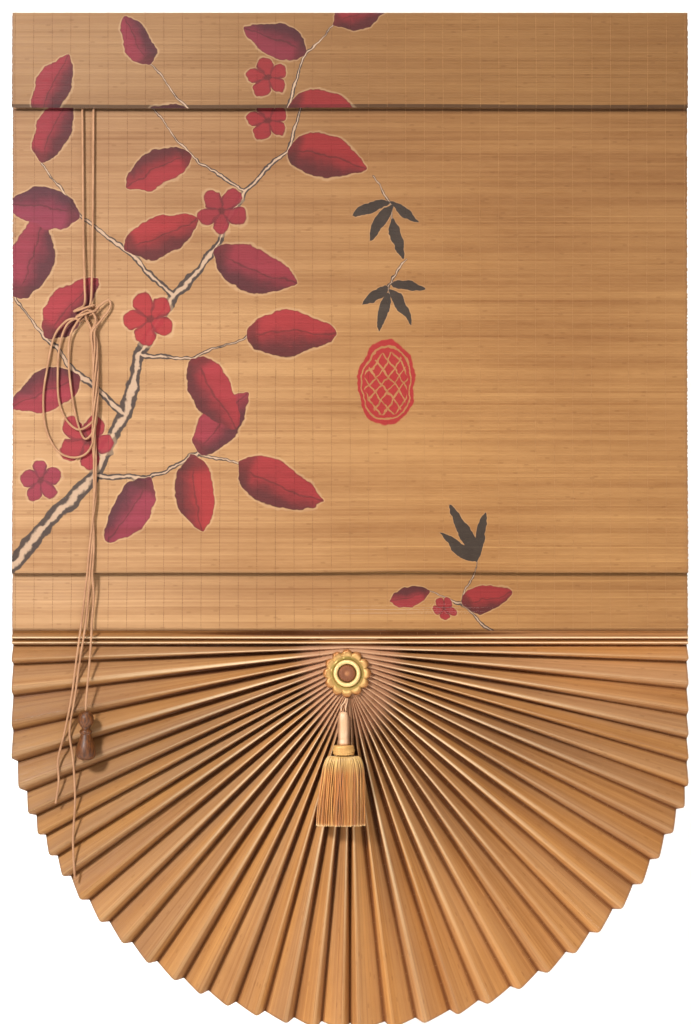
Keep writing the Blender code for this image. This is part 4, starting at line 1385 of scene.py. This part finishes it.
def bundle_run(top, bottom, slot):
    """Points of one cord in the bundle, from one height to another; slot 5 is its middle."""
    heights = [point.z for point in reversed(BUNDLE)]
    count = max(2, round(abs(bottom - top) / (16 * MM)))
    points = []
    for k in range(count + 1):
        z = mix(top, bottom, k / count)
        x = float(np.interp(z, heights, [point.x for point in reversed(BUNDLE)]))
        y = float(np.interp(z, heights, [point.y for point in reversed(BUNDLE)]))
        angle = math.radians(72 * slot) + z / (150 * MM) * 2 * math.pi
        near_end = smooth_step((-z - 560 * MM) / (100 * MM))
        radius = 0.0 if slot == 5 else mix(2.8, 2.5, smooth_step((-z - 500 * MM) / (40 * MM))) * MM
        aside = {3: 3.0 * MM, 4: -3.0 * MM}.get(slot, 0.0)
        x += mix(radius * math.cos(angle), aside, near_end)
        y += mix(radius * math.sin(angle), 0.0, near_end)
        points.append(Vector((x, y, z)))
    return points


def knot_turns(turns=2.25):
    """The cord's turns round the bundle, slanting as the knot does."""
    along = Vector((math.cos(KNOT_TURN), 0, math.sin(KNOT_TURN)))
    upward = Vector((-math.sin(KNOT_TURN), 0, math.cos(KNOT_TURN)))
    points, count = [], round(turns * KNOT_STEPS)
    for k in range(count + 1):
        angle = math.pi / 2 + 2 * math.pi * k / KNOT_STEPS
        rise = upward * mix(KNOT_HALF, -KNOT_HALF, k / count) * MM
        point = KNOT + along * KNOT_REACH * math.cos(angle) + rise
        point.y += KNOT_DEPTH * math.sin(angle)
        points.append(point)
    return points


def cord_frames(points):
    """Two directions square to the line at each point, carried along without twist."""
    tangents = [(b - a).normalized() for a, b in zip(points, points[1:])]
    tangents.append(tangents[-1])
    side = tangents[0].orthogonal().normalized()
    frames = []
    for tangent in tangents:
        side = (side - tangent * side.dot(tangent)).normalized()
        frames.append((side, tangent.cross(side)))
    return frames


def twisted_cord(name, route, diameter, finish, strands=3, lay=6.5 * MM, sides=12, step=0.9 * MM):
    """A cord of twisted strands along a route, and the points of its centreline."""
    points = curve_through(route, step)
    reach = 0.0
    verts, along, around = [], [], []
    for k, (point, (side, other)) in enumerate(zip(points, cord_frames(points))):
        if k:
            reach += (point - points[k - 1]).length
        twist = 2 * math.pi * reach / lay
        taper = 0.72 if k in (0, len(points) - 1) else 1.0
        for j in range(sides):
            angle = 2 * math.pi * j / sides
            lobe = abs(math.cos(strands * (angle - twist) / 2))
            radius = diameter / 2 * (0.80 + 0.22 * lobe) * taper
            verts.append(point + side * radius * math.cos(angle) + other * radius * math.sin(angle))
            along.append(reach)
            around.append(strands * (angle - twist) / (2 * math.pi))
    rings = len(points)
    faces = [tuple(range(sides - 1, -1, -1)), *skin(rings, sides)]
    faces.append(tuple((rings - 1) * sides + j for j in range(sides)))
    piece = mesh_piece(name, verts, faces, finish)
    for label, values in (("along", along), ("around", around)):
        piece.data.attributes.new(label, "FLOAT", "POINT").data.foreach_set("value", values)
    return piece, points


def declare_cord(cord, path, *stands_for, far_end="bare", **fitting):
    """Hides the solids of the frame that a pull cord stands for."""
    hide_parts(*stands_for)


def make_cords(finishes):
    finish = finishes["cord"]
    route = [
        *TOP_LEFT,
        *knot_turns(),
        *OUTER_LOOP,
        *bundle_run(-496 * MM, -380 * MM, 0),
        *OVER_KNOT,
        *MIDDLE_LOOP,
        *bundle_run(-474 * MM, -380 * MM, 1),
        *TURN_BACK,
        *bundle_run(-384 * MM, -650 * MM, 5),
        *TAIL_LONG,
    ]
    cord, path = twisted_cord("pull_cord_long", route, CORD, finish)
    declare_cord(cord, path, "pull_cord_top_left", "cord_hank", "pull_cord_tail_long")
    route = [
        *TOP_RIGHT,
        *INTO_KNOT,
        *INNER_LOOP,
        *bundle_run(-484 * MM, -380 * MM, 2),
        *TURN_BEHIND,
        *bundle_run(-386 * MM, -650 * MM, 3),
        *TO_KNOB,
    ]
    cord, path = twisted_cord("pull_cord_to_turned_knob", route, CORD, finish)
    knob = turn_knob(finishes)
    stands_for = ("pull_cord_top_right", "pull_cord_to_knob")
    declare_cord(cord, path, *stands_for, far_end="fitting", with_pieces=[knob])
    route = [*BACK_LOOP, *bundle_run(-386 * MM, -650 * MM, 4), *TAIL_SHORT]
    cord, path = twisted_cord("pull_cord_short_tail", route, CORD, finish)
    declare_cord(cord, path, "pull_cord_tail_short")


# ---- turned and lofted pieces ----------------------------------------------


def loft(name, rings, finish):
    """A piece from rings of points, each with as many points; its ends are closed."""
    sides = len(rings[0])
    verts = [point for ring in rings for point in ring]
    faces = [(a, d, c, b) for a, b, c, d in skin(len(rings), sides)]
    faces.append(tuple(range(sides)))
    faces.append(tuple(reversed(range((len(rings) - 1) * sides, len(rings) * sides))))
    return mesh_piece(name, verts, faces, finish)


def smooth_profile(profile, count):
    """A profile (radius, height) redrawn as a smooth curve of about count points."""
    points = [Vector((radius, 0, height)) for radius, height in profile]
    step = length_of(points) / count
    return [(max(point.x, 0.05 * MM), point.z) for point in curve_through(points, step)]


def turned(name, profile, centre, finish, steps=64, relief=None):
    """A piece turned about Z; relief(angle, height) adds to its radius."""
    rings = []
    for radius, height in profile:
        ring = []
        for k in range(steps):
            angle = -2 * math.pi * k / steps
            out = radius + (relief(angle, height) if relief and radius > 0.4 * MM else 0.0)
            x, y = out * math.cos(angle), out * math.sin(angle)
            ring.append((centre[0] + x, centre[1] + y, centre[2] + height))
        rings.append(ring)
    return loft(name, rings, finish)


def outline(*points):
    """A profile given in millimetres as (radius, height)."""
    return [(radius * MM, height * MM) for radius, height in points]


KNOB_OUTLINE = outline(
    (0.6, 0.0),
    (3.0, -0.2),
    (6.4, -2.2),
    (8.7, -6.0),
    (9.3, -9.4),
    (8.8, -13.0),
    (7.2, -16.4),
    (5.5, -18.6),
    (5.0, -19.8),
    (5.2, -21.4),
    (6.8, -22.6),
    (7.5, -24.0),
    (7.3, -25.8),
    (6.2, -27.0),
    (6.4, -28.6),
    (7.6, -32.0),
    (9.4, -37.0),
    (10.9, -42.0),
    (11.7, -46.6),
    (11.8, -50.0),
    (10.8, -53.8),
    (8.0, -56.6),
    (4.0, -57.8),
    (0.6, -58.0),
)


def turn_knob(finishes):
    knob = turned("turned_knob", smooth_profile(KNOB_OUTLINE, 90), KNOB, finishes["turned_wood"])
    return dress(knob, "cord_knob")


def facing_rings(centre, rings, steps, relief):
    """Rings of a round relief that faces the front: each (radius, y), shaped by relief."""
    made = []
    for radius, y in rings:
        ring = []
        for k in range(steps):
            angle = 2 * math.pi * k / steps
            out, depth = relief(angle, radius, y)
            ring.append((centre.x + out * math.cos(angle), depth, centre.z + out * math.sin(angle)))
        made.append(ring)
    return made


ROSETTE_GAP = 0.3 * MM  # how far the rosette stands in front of the pleats
RIBS = 96
SCALLOP = 4.2 * MM  # how far in the rim comes between two petals
RING_RADIUS, RING_WIRE, RING_RIDGE = 13.6, 2.45, 0.16  # in millimetres
RING_TURNS = 54
RING_STEPS, RING_SIDES = 432, 14
BUTTON_FOLDS, BUTTON_FOLD = 22, 0.22 * MM


def make_rosette(finishes):
    back = FAN_FRONT - ROSETTE_GAP

    def petal_relief(angle, radius, y):
        edge = abs(math.cos(PETALS * angle / 2))
        outward = smooth_step((radius - 17.5 * MM) / (9 * MM))
        rib = abs(math.sin(RIBS * angle / 2))
        out = radius - SCALLOP * outward * (1 - edge) ** 1.3
        raised = min(1.0, max(0.0, (back - y) / (3 * MM)))
        sunk = outward * raised * (1.7 * (1 - edge) ** 1.5 + 0.35 * (1 - rib)) * MM
        return out, y + sunk

    profile = [
        (21.0, -0.0),
        (26.5, -0.2),
        (28.0, -1.2),
        (28.5, -2.4),
        (27.9, -3.6),
        (26.4, -4.6),
        (24.4, -5.0),
        (22.4, -4.6),
        (20.6, -3.9),
        (19.2, -3.8),
        (18.0, -4.4),
        (16.8, -4.2),
        (16.0, -3.2),
        (12.0, -3.0),
    ]
    rings = facing_rings(ROSETTE, [(r * MM, back + y * MM) for r, y in profile], 384, petal_relief)
    petals = loft("rosette_braid", rings, finishes["gold_braid"])
    dress(petals, "rosette_petals")
    ring_y = back - 3.3 * MM - 2.6 * MM
    rings = []
    for k in range(RING_STEPS):
        a = 2 * math.pi * k / RING_STEPS
        ring = []
        for j in range(RING_SIDES):
            b = 2 * math.pi * j / RING_SIDES
            wound = RING_WIRE + RING_RIDGE * math.cos(RING_TURNS * a + b)
            out = (RING_RADIUS + wound * math.cos(b)) * MM
            y = ring_y + wound * MM * math.sin(b)
            ring.append((ROSETTE.x + out * math.cos(a), y, ROSETTE.z + out * math.sin(a)))
        rings.append(ring)
    verts = [point for ring in rings for point in ring]
    faces = skin(RING_STEPS, RING_SIDES, wheel=True)
    wound_ring = mesh_piece("rosette_wound_ring", verts, faces, finishes["gold_ring"])
    dress(wound_ring, "rosette_ring")

    def button_relief(angle, radius, y):
        fold = BUTTON_FOLD * math.cos(BUTTON_FOLDS * angle)
        return radius, y + fold * smooth_step((radius - 3 * MM) / (5 * MM))

    profile = [
        (8.8, 0.0),
        (9.9, -0.7),
        (10.2, -1.8),
        (9.6, -2.9),
        (8.0, -3.7),
        (6.0, -4.1),
        (4.2, -4.0),
        (2.6, -3.6),
        (1.4, -3.9),
        (0.5, -4.2),
    ]
    profile = [(r * MM, back + (y - 3.3) * MM) for r, y in profile]
    rings = facing_rings(ROSETTE, profile, 132, button_relief)
    button = loft("rosette_cloth_button", rings, finishes["button_cloth"])
    dress(button, "rosette_button")


# ---- tassel ----------------------------------------------------------------

NECK_OUTLINE = outline(
    (0.5, 0.0),
    (2.4, -0.1),
    (4.4, -1.6),
    (5.6, -5.0),
    (6.6, -10.0),
    (7.4, -17.0),
    (7.0, -25.0),
    (6.5, -32.0),
    (7.4, -38.4),
    (0.5, -38.6),
)
COLLAR_OUTLINE = outline(
    (0.5, 0.0),
    (9.6, -0.1),
    (11.6, -0.9),
    (12.4, -2.4),
    (12.0, -3.4),
    (12.9, -4.8),
    (13.0, -6.6),
    (12.1, -8.2),
    (12.5, -9.4),
    (11.8, -11.0),
    (9.8, -11.7),
    (0.5, -11.7),
)
STRANDS = 430
STRAND = 1.25 * MM
SKIRT_WIDE, SKIRT_DEEP = 25.2, 13.4  # half its width and half its depth, in millimetres
SKIRT_FORWARD = 4.5 * MM  # how far its middle is in front of the neck's
SATIN_THREAD = 1.7 * MM
SATIN_RIB, BRAID_RIB = 0.16 * MM, 0.3 * MM
COLLAR_FORWARD = 3.6 * MM


def strand_tree():
    """Each guide line becomes one soft twisted strand of the tassel's skirt."""
    tree, n, given, out = geometry_tree(
        "tassel strands",
        [("Strand radius", "Float", STRAND / 2), ("Seed", "Int", 4), ("Finish", "Material", None)],
    )
    lines = n.add("GeometryNodeMeshToCurve", Mesh=given["Guides"]).outputs[0]
    lines = toned_lines(n, lines, given["Seed"])
    outline = round_outline(n, given["Strand radius"], 5)
    values = {"Curve": lines, "Profile_Curve": outline, "Scale": named(n, "breadth")}
    body = n.add("GeometryNodeCurveToMesh", Fill_Caps=True, **values)
    finish_tree(n, body.outputs[0], given, out)
    return tree


def skirt_guides():
    """Strands that bulge out from under the collar and hang nearly straight."""
    chance = np.random.default_rng(21)
    steps = np.array([0.0, 0.02, 0.05, 0.09, 0.14, 0.22, 0.34, 0.48, 0.62, 0.76, 0.88, 0.97, 1.0])
    angle = np.arange(STRANDS) * 2.39996
    root = np.sqrt((np.arange(STRANDS) + 0.5) / STRANDS)
    x0, y0 = root * np.cos(angle), root * np.sin(angle)
    fall = (SKIRT_TOP - SKIRT_BOTTOM) * chance.uniform(0.955, 1.0, STRANDS)
    stray = chance.normal(0, 1, (STRANDS, 4))
    shoulder = 1 - np.exp(-steps * 13)
    spread = mix(0.72, 1.0, shoulder)[None, :] + 0.10 * smooth_share(steps)[None, :]
    lean = (-1.8 - 2.6 * np.clip(-x0, 0, 1))[:, None] * smooth_share(steps)[None, :]
    beat, phase = 5 + 2 * stray[:, 1:2], stray[:, 2:3] * 3
    wave = 0.55 * stray[:, :1] * np.sin(steps[None, :] * beat + phase)
    x = SKIRT_WIDE * x0[:, None] * spread + lean + wave
    y = SKIRT_DEEP * y0[:, None] * spread * mix(1.0, 0.93, steps)[None, :] + 0.6 * wave
    drop = steps[None, :] * fall[:, None]
    z = -drop - 1.2 * MM - 1.6 * MM * (root[:, None] ** 2) * np.minimum(1, steps * 12)[None, :]
    points = np.stack([TASSEL_X + x * MM, NECK_Y - SKIRT_FORWARD + y * MM, SKIRT_TOP + z], axis=-1)
    points[..., 2] = np.maximum(points[..., 2], SKIRT_BOTTOM - 1 * MM)
    breadth = np.repeat((1.0 + 0.12 * np.sin(steps * 40))[None, :], STRANDS, axis=0)
    breadth[:, -1] = 0.8
    breadth[:, 0] = 0.7
    return guide_lines("skirt_guide", points, np.zeros_like(points), breadth=breadth)


def make_tassel(finishes):
    foot = ROSETTE.z - PETAL_RADIUS
    for side in (-1, 1):
        route = [
            Vector((ROSETTE.x + side * 0.9 * MM, -20.4 * MM, foot - 0.8 * MM)),
            Vector((ROSETTE.x - 1.0 * MM + side * 1.4 * MM, -21.8 * MM, foot - 5 * MM)),
            Vector((TASSEL_X + side * 2.7 * MM, NECK_Y + 1.2 * MM, NECK_TOP + 6 * MM)),
            Vector((TASSEL_X + side * 2.4 * MM, NECK_Y, NECK_TOP + 0.6 * MM)),
        ]
        name = "tassel_thread_" + ("left" if side < 0 else "right")
        satin = finishes["satin_thread"]
        thread, _ = twisted_cord(name, route, SATIN_THREAD, satin, lay=5 * MM, step=0.6 * MM)
    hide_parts("tassel_thread")

    def wound(angle, height):
        return SATIN_RIB * (abs(math.cos(26 * angle)) - 0.5)

    neck = turned(
        "tassel_satin_neck",
        smooth_profile(NECK_OUTLINE, 60),
        (TASSEL_X, NECK_Y, NECK_TOP),
        finishes["satin_thread"],
        steps=208,
        relief=wound,
    )
    dress(neck, "tassel_neck")

    def braided(angle, height):
        run = height / (2.6 * MM) * 2 * math.pi
        over = math.cos(18 * angle + run) * math.cos(18 * angle - run)
        return BRAID_RIB * over

    collar = turned(
        "tassel_braided_collar",
        smooth_profile(COLLAR_OUTLINE, 70),
        (TASSEL_X, NECK_Y - COLLAR_FORWARD, COLLAR_TOP),
        finishes["gold_collar"],
        steps=216,
        relief=braided,
    )
    dress(collar, "tassel_collar")
    skirt = weave("tassel_strands", skirt_guides(), strand_tree(), finishes["gold_strand"])
    skirt.data.shade_smooth()
    dress(skirt, "tassel_skirt")


# ---- finishes --------------------------------------------------------------


def thread_group():
    """Colour and relief of spun thread, from its own length and a random tone."""
    group, n, given, out = new_group(
        "spun thread",
        [("Pale", "Color", None), ("Deep", "Color", None), ("Fineness", "Float", 1.0)],
        [("Color", "Color"), ("Height", "Float")],
    )
    place = n.place()
    fuzz = n.noise(place, 1600.0, 2.0)
    slow = n.noise(place, 70.0, 2.0)
    level = n.math("ADD", n.times(fuzz, 0.6), n.times(slow, 0.8))
    level = n.times(n.math("SUBTRACT", level, 0.2), given["Fineness"], clamp=True)
    n.feed(out["Color"], n.blend(level, given["Deep"], given["Pale"]))
    n.feed(out["Height"], fuzz)
    return group


def thread_finish(name, group, pale, deep, roughness, bump=0.2, tint=None, **constants):
    finish, n, shader = new_finish(name, roughness, **constants)
    thread = use_group(n, group, Pale=pale, Deep=deep)
    shade = thread["Color"]
    if tint:
        shade = tint(n, shade)
    n.feed(shader.inputs["Base Color"], shade)
    give_bump(n, shader, thread["Height"], bump, 0.0002)
    return finish


def thread_faded(n, shade):
    """The warp threads' dye is strong on the left and has faded to the right."""
    x = n.split(n.place())[0]
    return n.blend(n.between(x, -0.12, 0.12, 0.0, 0.85), shade, colour(190, 142, 92))


def from_rosette(n):
    """Distance from the rosette's axis."""
    x, _, z = n.split(n.place())
    aside, above = n.math("SUBTRACT", x, ROSETTE.x), n.math("SUBTRACT", z, ROSETTE.z)
    return n.math("SQRT", n.math("ADD", n.times(aside, aside), n.times(above, above)))


def braid_banded(n, shade):
    """The rosette's braid is olive green round its ring, gold further out and brown along its rim.
    """
    radius = from_rosette(n)
    age = n.blend(n.between(radius, 18 * MM, 22 * MM), colour(152, 132, 62), colour(218, 172, 104))
    age = n.blend(n.between(radius, 22.5 * MM, 26.5 * MM), age, colour(166, 100, 48))
    share = n.between(n.noise(n.place(), 160.0, 2.0), 0.35, 0.65, 0.55, 0.95)
    return n.blend(share, shade, age)


def button_painted_highlight(n, shade):
    """A painted highlight lightens the button's cloth over its middle."""
    middle = n.between(from_rosette(n), 4.5 * MM, 1 * MM, 0.0, 0.5)
    return n.blend(middle, shade, colour(206, 138, 88))


def neck_painted_sheen(n, shade):
    """Painted sheen and shade: the wound satin stays pale down its middle and is painted dark at
    its sides, as it turns away from the light.
    """
    aside = n.apart(n.split(n.place())[0], TASSEL_X)
    return n.blend(n.between(aside, 2.4 * MM, 6.4 * MM, 0.0, 0.85), shade, colour(132, 82, 44))


def strand_finish(group):
    """Glossy strands, each in its own gold, brighter at their cut ends."""
    finish, n, shader = new_finish(
        "gold_strand", 0.38, Sheen_Weight=0.3, Specular_IOR_Level=0.6, Anisotropic=0.5
    )
    thread = use_group(n, group, Pale=colour(216, 150, 82), Deep=colour(164, 92, 38))
    tone = n.attribute("tone")
    own = n.blend(tone, colour(252, 190, 104), colour(204, 118, 44))
    shade = n.blend(0.66, thread["Color"], own)
    lock = n.noise(n.vector("MULTIPLY", n.place(), (1.0, 1.0, 0.06)), 330.0, 2.0)
    shade = n.blend(n.between(lock, 0.42, 0.58, 0.5, 0.0), shade, colour(140, 78, 26))
    # Painted highlight on the shoulders, where the strands bulge out under the collar.
    shoulder = n.between(n.attribute("along"), 0.024, 0.006)
    shade = n.cover(shade, shoulder, 0.7, colour(232, 196, 120))
    tip = n.between(n.attribute("along"), 0.079, 0.084)
    shade = n.cover(shade, tip, 0.75, colour(255, 220, 156))
    n.feed(shader.inputs["Base Color"], shade)
    give_bump(n, shader, thread["Height"], 0.3, 0.0002)
    return finish


def wood_finish(name, pale, deep, roughness, coat):
    finish, n, shader = new_finish(name, roughness, Coat_Weight=coat, Coat_Roughness=0.2)
    grain = n.vector("MULTIPLY", n.place(), (1.0, 1.0, 0.12))
    rings = n.noise(grain, 520.0, 4.0, 0.6)
    pores = n.noise(grain, 2600.0, 2.0)
    level = n.math("ADD", n.times(rings, 0.9), n.times(pores, 0.25))
    shade = n.blend(n.between(level, 0.38, 0.78), deep, pale)
    n.feed(shader.inputs["Base Color"], shade)
    give_bump(n, shader, level, 0.25, 0.0002)
    return finish


SATIN_SHEEN = {"Sheen_Weight": 0.2}
# Threads: pale and deep colour, roughness, bump, tint and constants of the shader.
THREADS = {
    "cord": ((206, 160, 122), (140, 92, 60), 0.85, 0.4, None, {}),
    "satin_thread": ((252, 214, 176), (206, 152, 104), 0.28, 0.15, neck_painted_sheen, SATIN_SHEEN),
    "gold_braid": ((222, 172, 104), (140, 88, 40), 0.34, 0.3, braid_banded, {"Metallic": 0.4}),
    "gold_collar": ((250, 202, 124), (184, 124, 62), 0.34, 0.3, None, {"Metallic": 0.3}),
    "gold_ring": ((255, 226, 160), (226, 186, 112), 0.3, 0.2, None, {"Metallic": 0.25}),
    "button_cloth": ((150, 88, 48), (98, 50, 26), 0.65, 0.3, button_painted_highlight, {}),
}
WOODS = [
    ("turned_wood", (122, 68, 22), (58, 26, 3), 0.5, 0.04),
    ("guide_wood", (196, 156, 106), (150, 108, 66), 0.6, 0.0),
]
BAMBOO = colour(196, 147, 98), colour(140, 90, 50)
BAMBOO_DARK = colour(186, 140, 92), colour(133, 86, 46)
WARP_COLOURS = colour(130, 84, 52), colour(94, 58, 34)
PLEAT_WARP_COLOURS = colour(166, 120, 80), colour(120, 80, 48)


def make_finishes():
    bamboo, thread, spray = bamboo_group(), thread_group(), spray_group()
    on_panel, on_valance = printed(spray, 0.0, hung_tint_and_painted_light), printed(spray, VALANCE_REPEAT, hung_tint_and_painted_light)
    finishes = {
        "bamboo": bamboo_finish("bamboo", bamboo, *BAMBOO, 1.0, on_panel),
        "bamboo_dark": bamboo_finish("bamboo_dark", bamboo, *BAMBOO_DARK, 0.8, on_valance),
        "bamboo_pleat": bamboo_finish("bamboo_pleat", bamboo, *BAMBOO, 1.0, pleat_tint_and_painted_light),
    }
    for name, colours, tint in (
        ("warp_valance", WARP_COLOURS, printed(spray, VALANCE_REPEAT, thread_faded)),
        ("warp_panel", WARP_COLOURS, printed(spray, 0.0, thread_faded)),
        ("warp_fan", PLEAT_WARP_COLOURS, thread_faded),
    ):
        finishes[name] = thread_finish(name, thread, *colours, 0.8, 0.2, tint)
    for name, (pale, deep, roughness, bump, tint, constants) in THREADS.items():
        colours = colour(*pale), colour(*deep)
        finishes[name] = thread_finish(name, thread, *colours, roughness, bump, tint, **constants)
    finishes["gold_strand"] = strand_finish(thread)
    for name, pale, deep, roughness, coat in WOODS:
        finishes[name] = wood_finish(name, colour(*pale), colour(*deep), roughness, coat)
    return finishes


# ---- the blind -------------------------------------------------------------


def make_cloths(finishes):
    trees = {"splints": splint_tree(), "threads": thread_tree()}
    jobs = [
        ("valance", valance_section(), valance_sway, "bamboo_dark", 11, True),
        ("panel", panel_section(), panel_sway, "bamboo", 12, False),
    ]
    for node, section, sway, slot_name, seed, painted_hem_shade in jobs:
        finish, warp_finish = finishes[slot_name], finishes["warp_" + node]
        cloth, warp, length = hang_cloth(
            node + "_cloth", section, sway, trees, finish, warp_finish, seed, painted_hem_shade
        )
        dress(cloth, node)
    fan, warp, length = fold_fan(trees, finishes["bamboo_pleat"], finishes["warp_fan"])
    dress(fan, "fan")


def main():
    make_camera()
    finishes = make_finishes()
    make_cords(finishes)
    make_cloths(finishes)
    make_rosette(finishes)
    make_tassel(finishes)
    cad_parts["cord_guide"].data.materials.clear()
    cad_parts["cord_guide"].data.materials.append(finishes["guide_wood"])
    make_stage()
    make_light()


main()
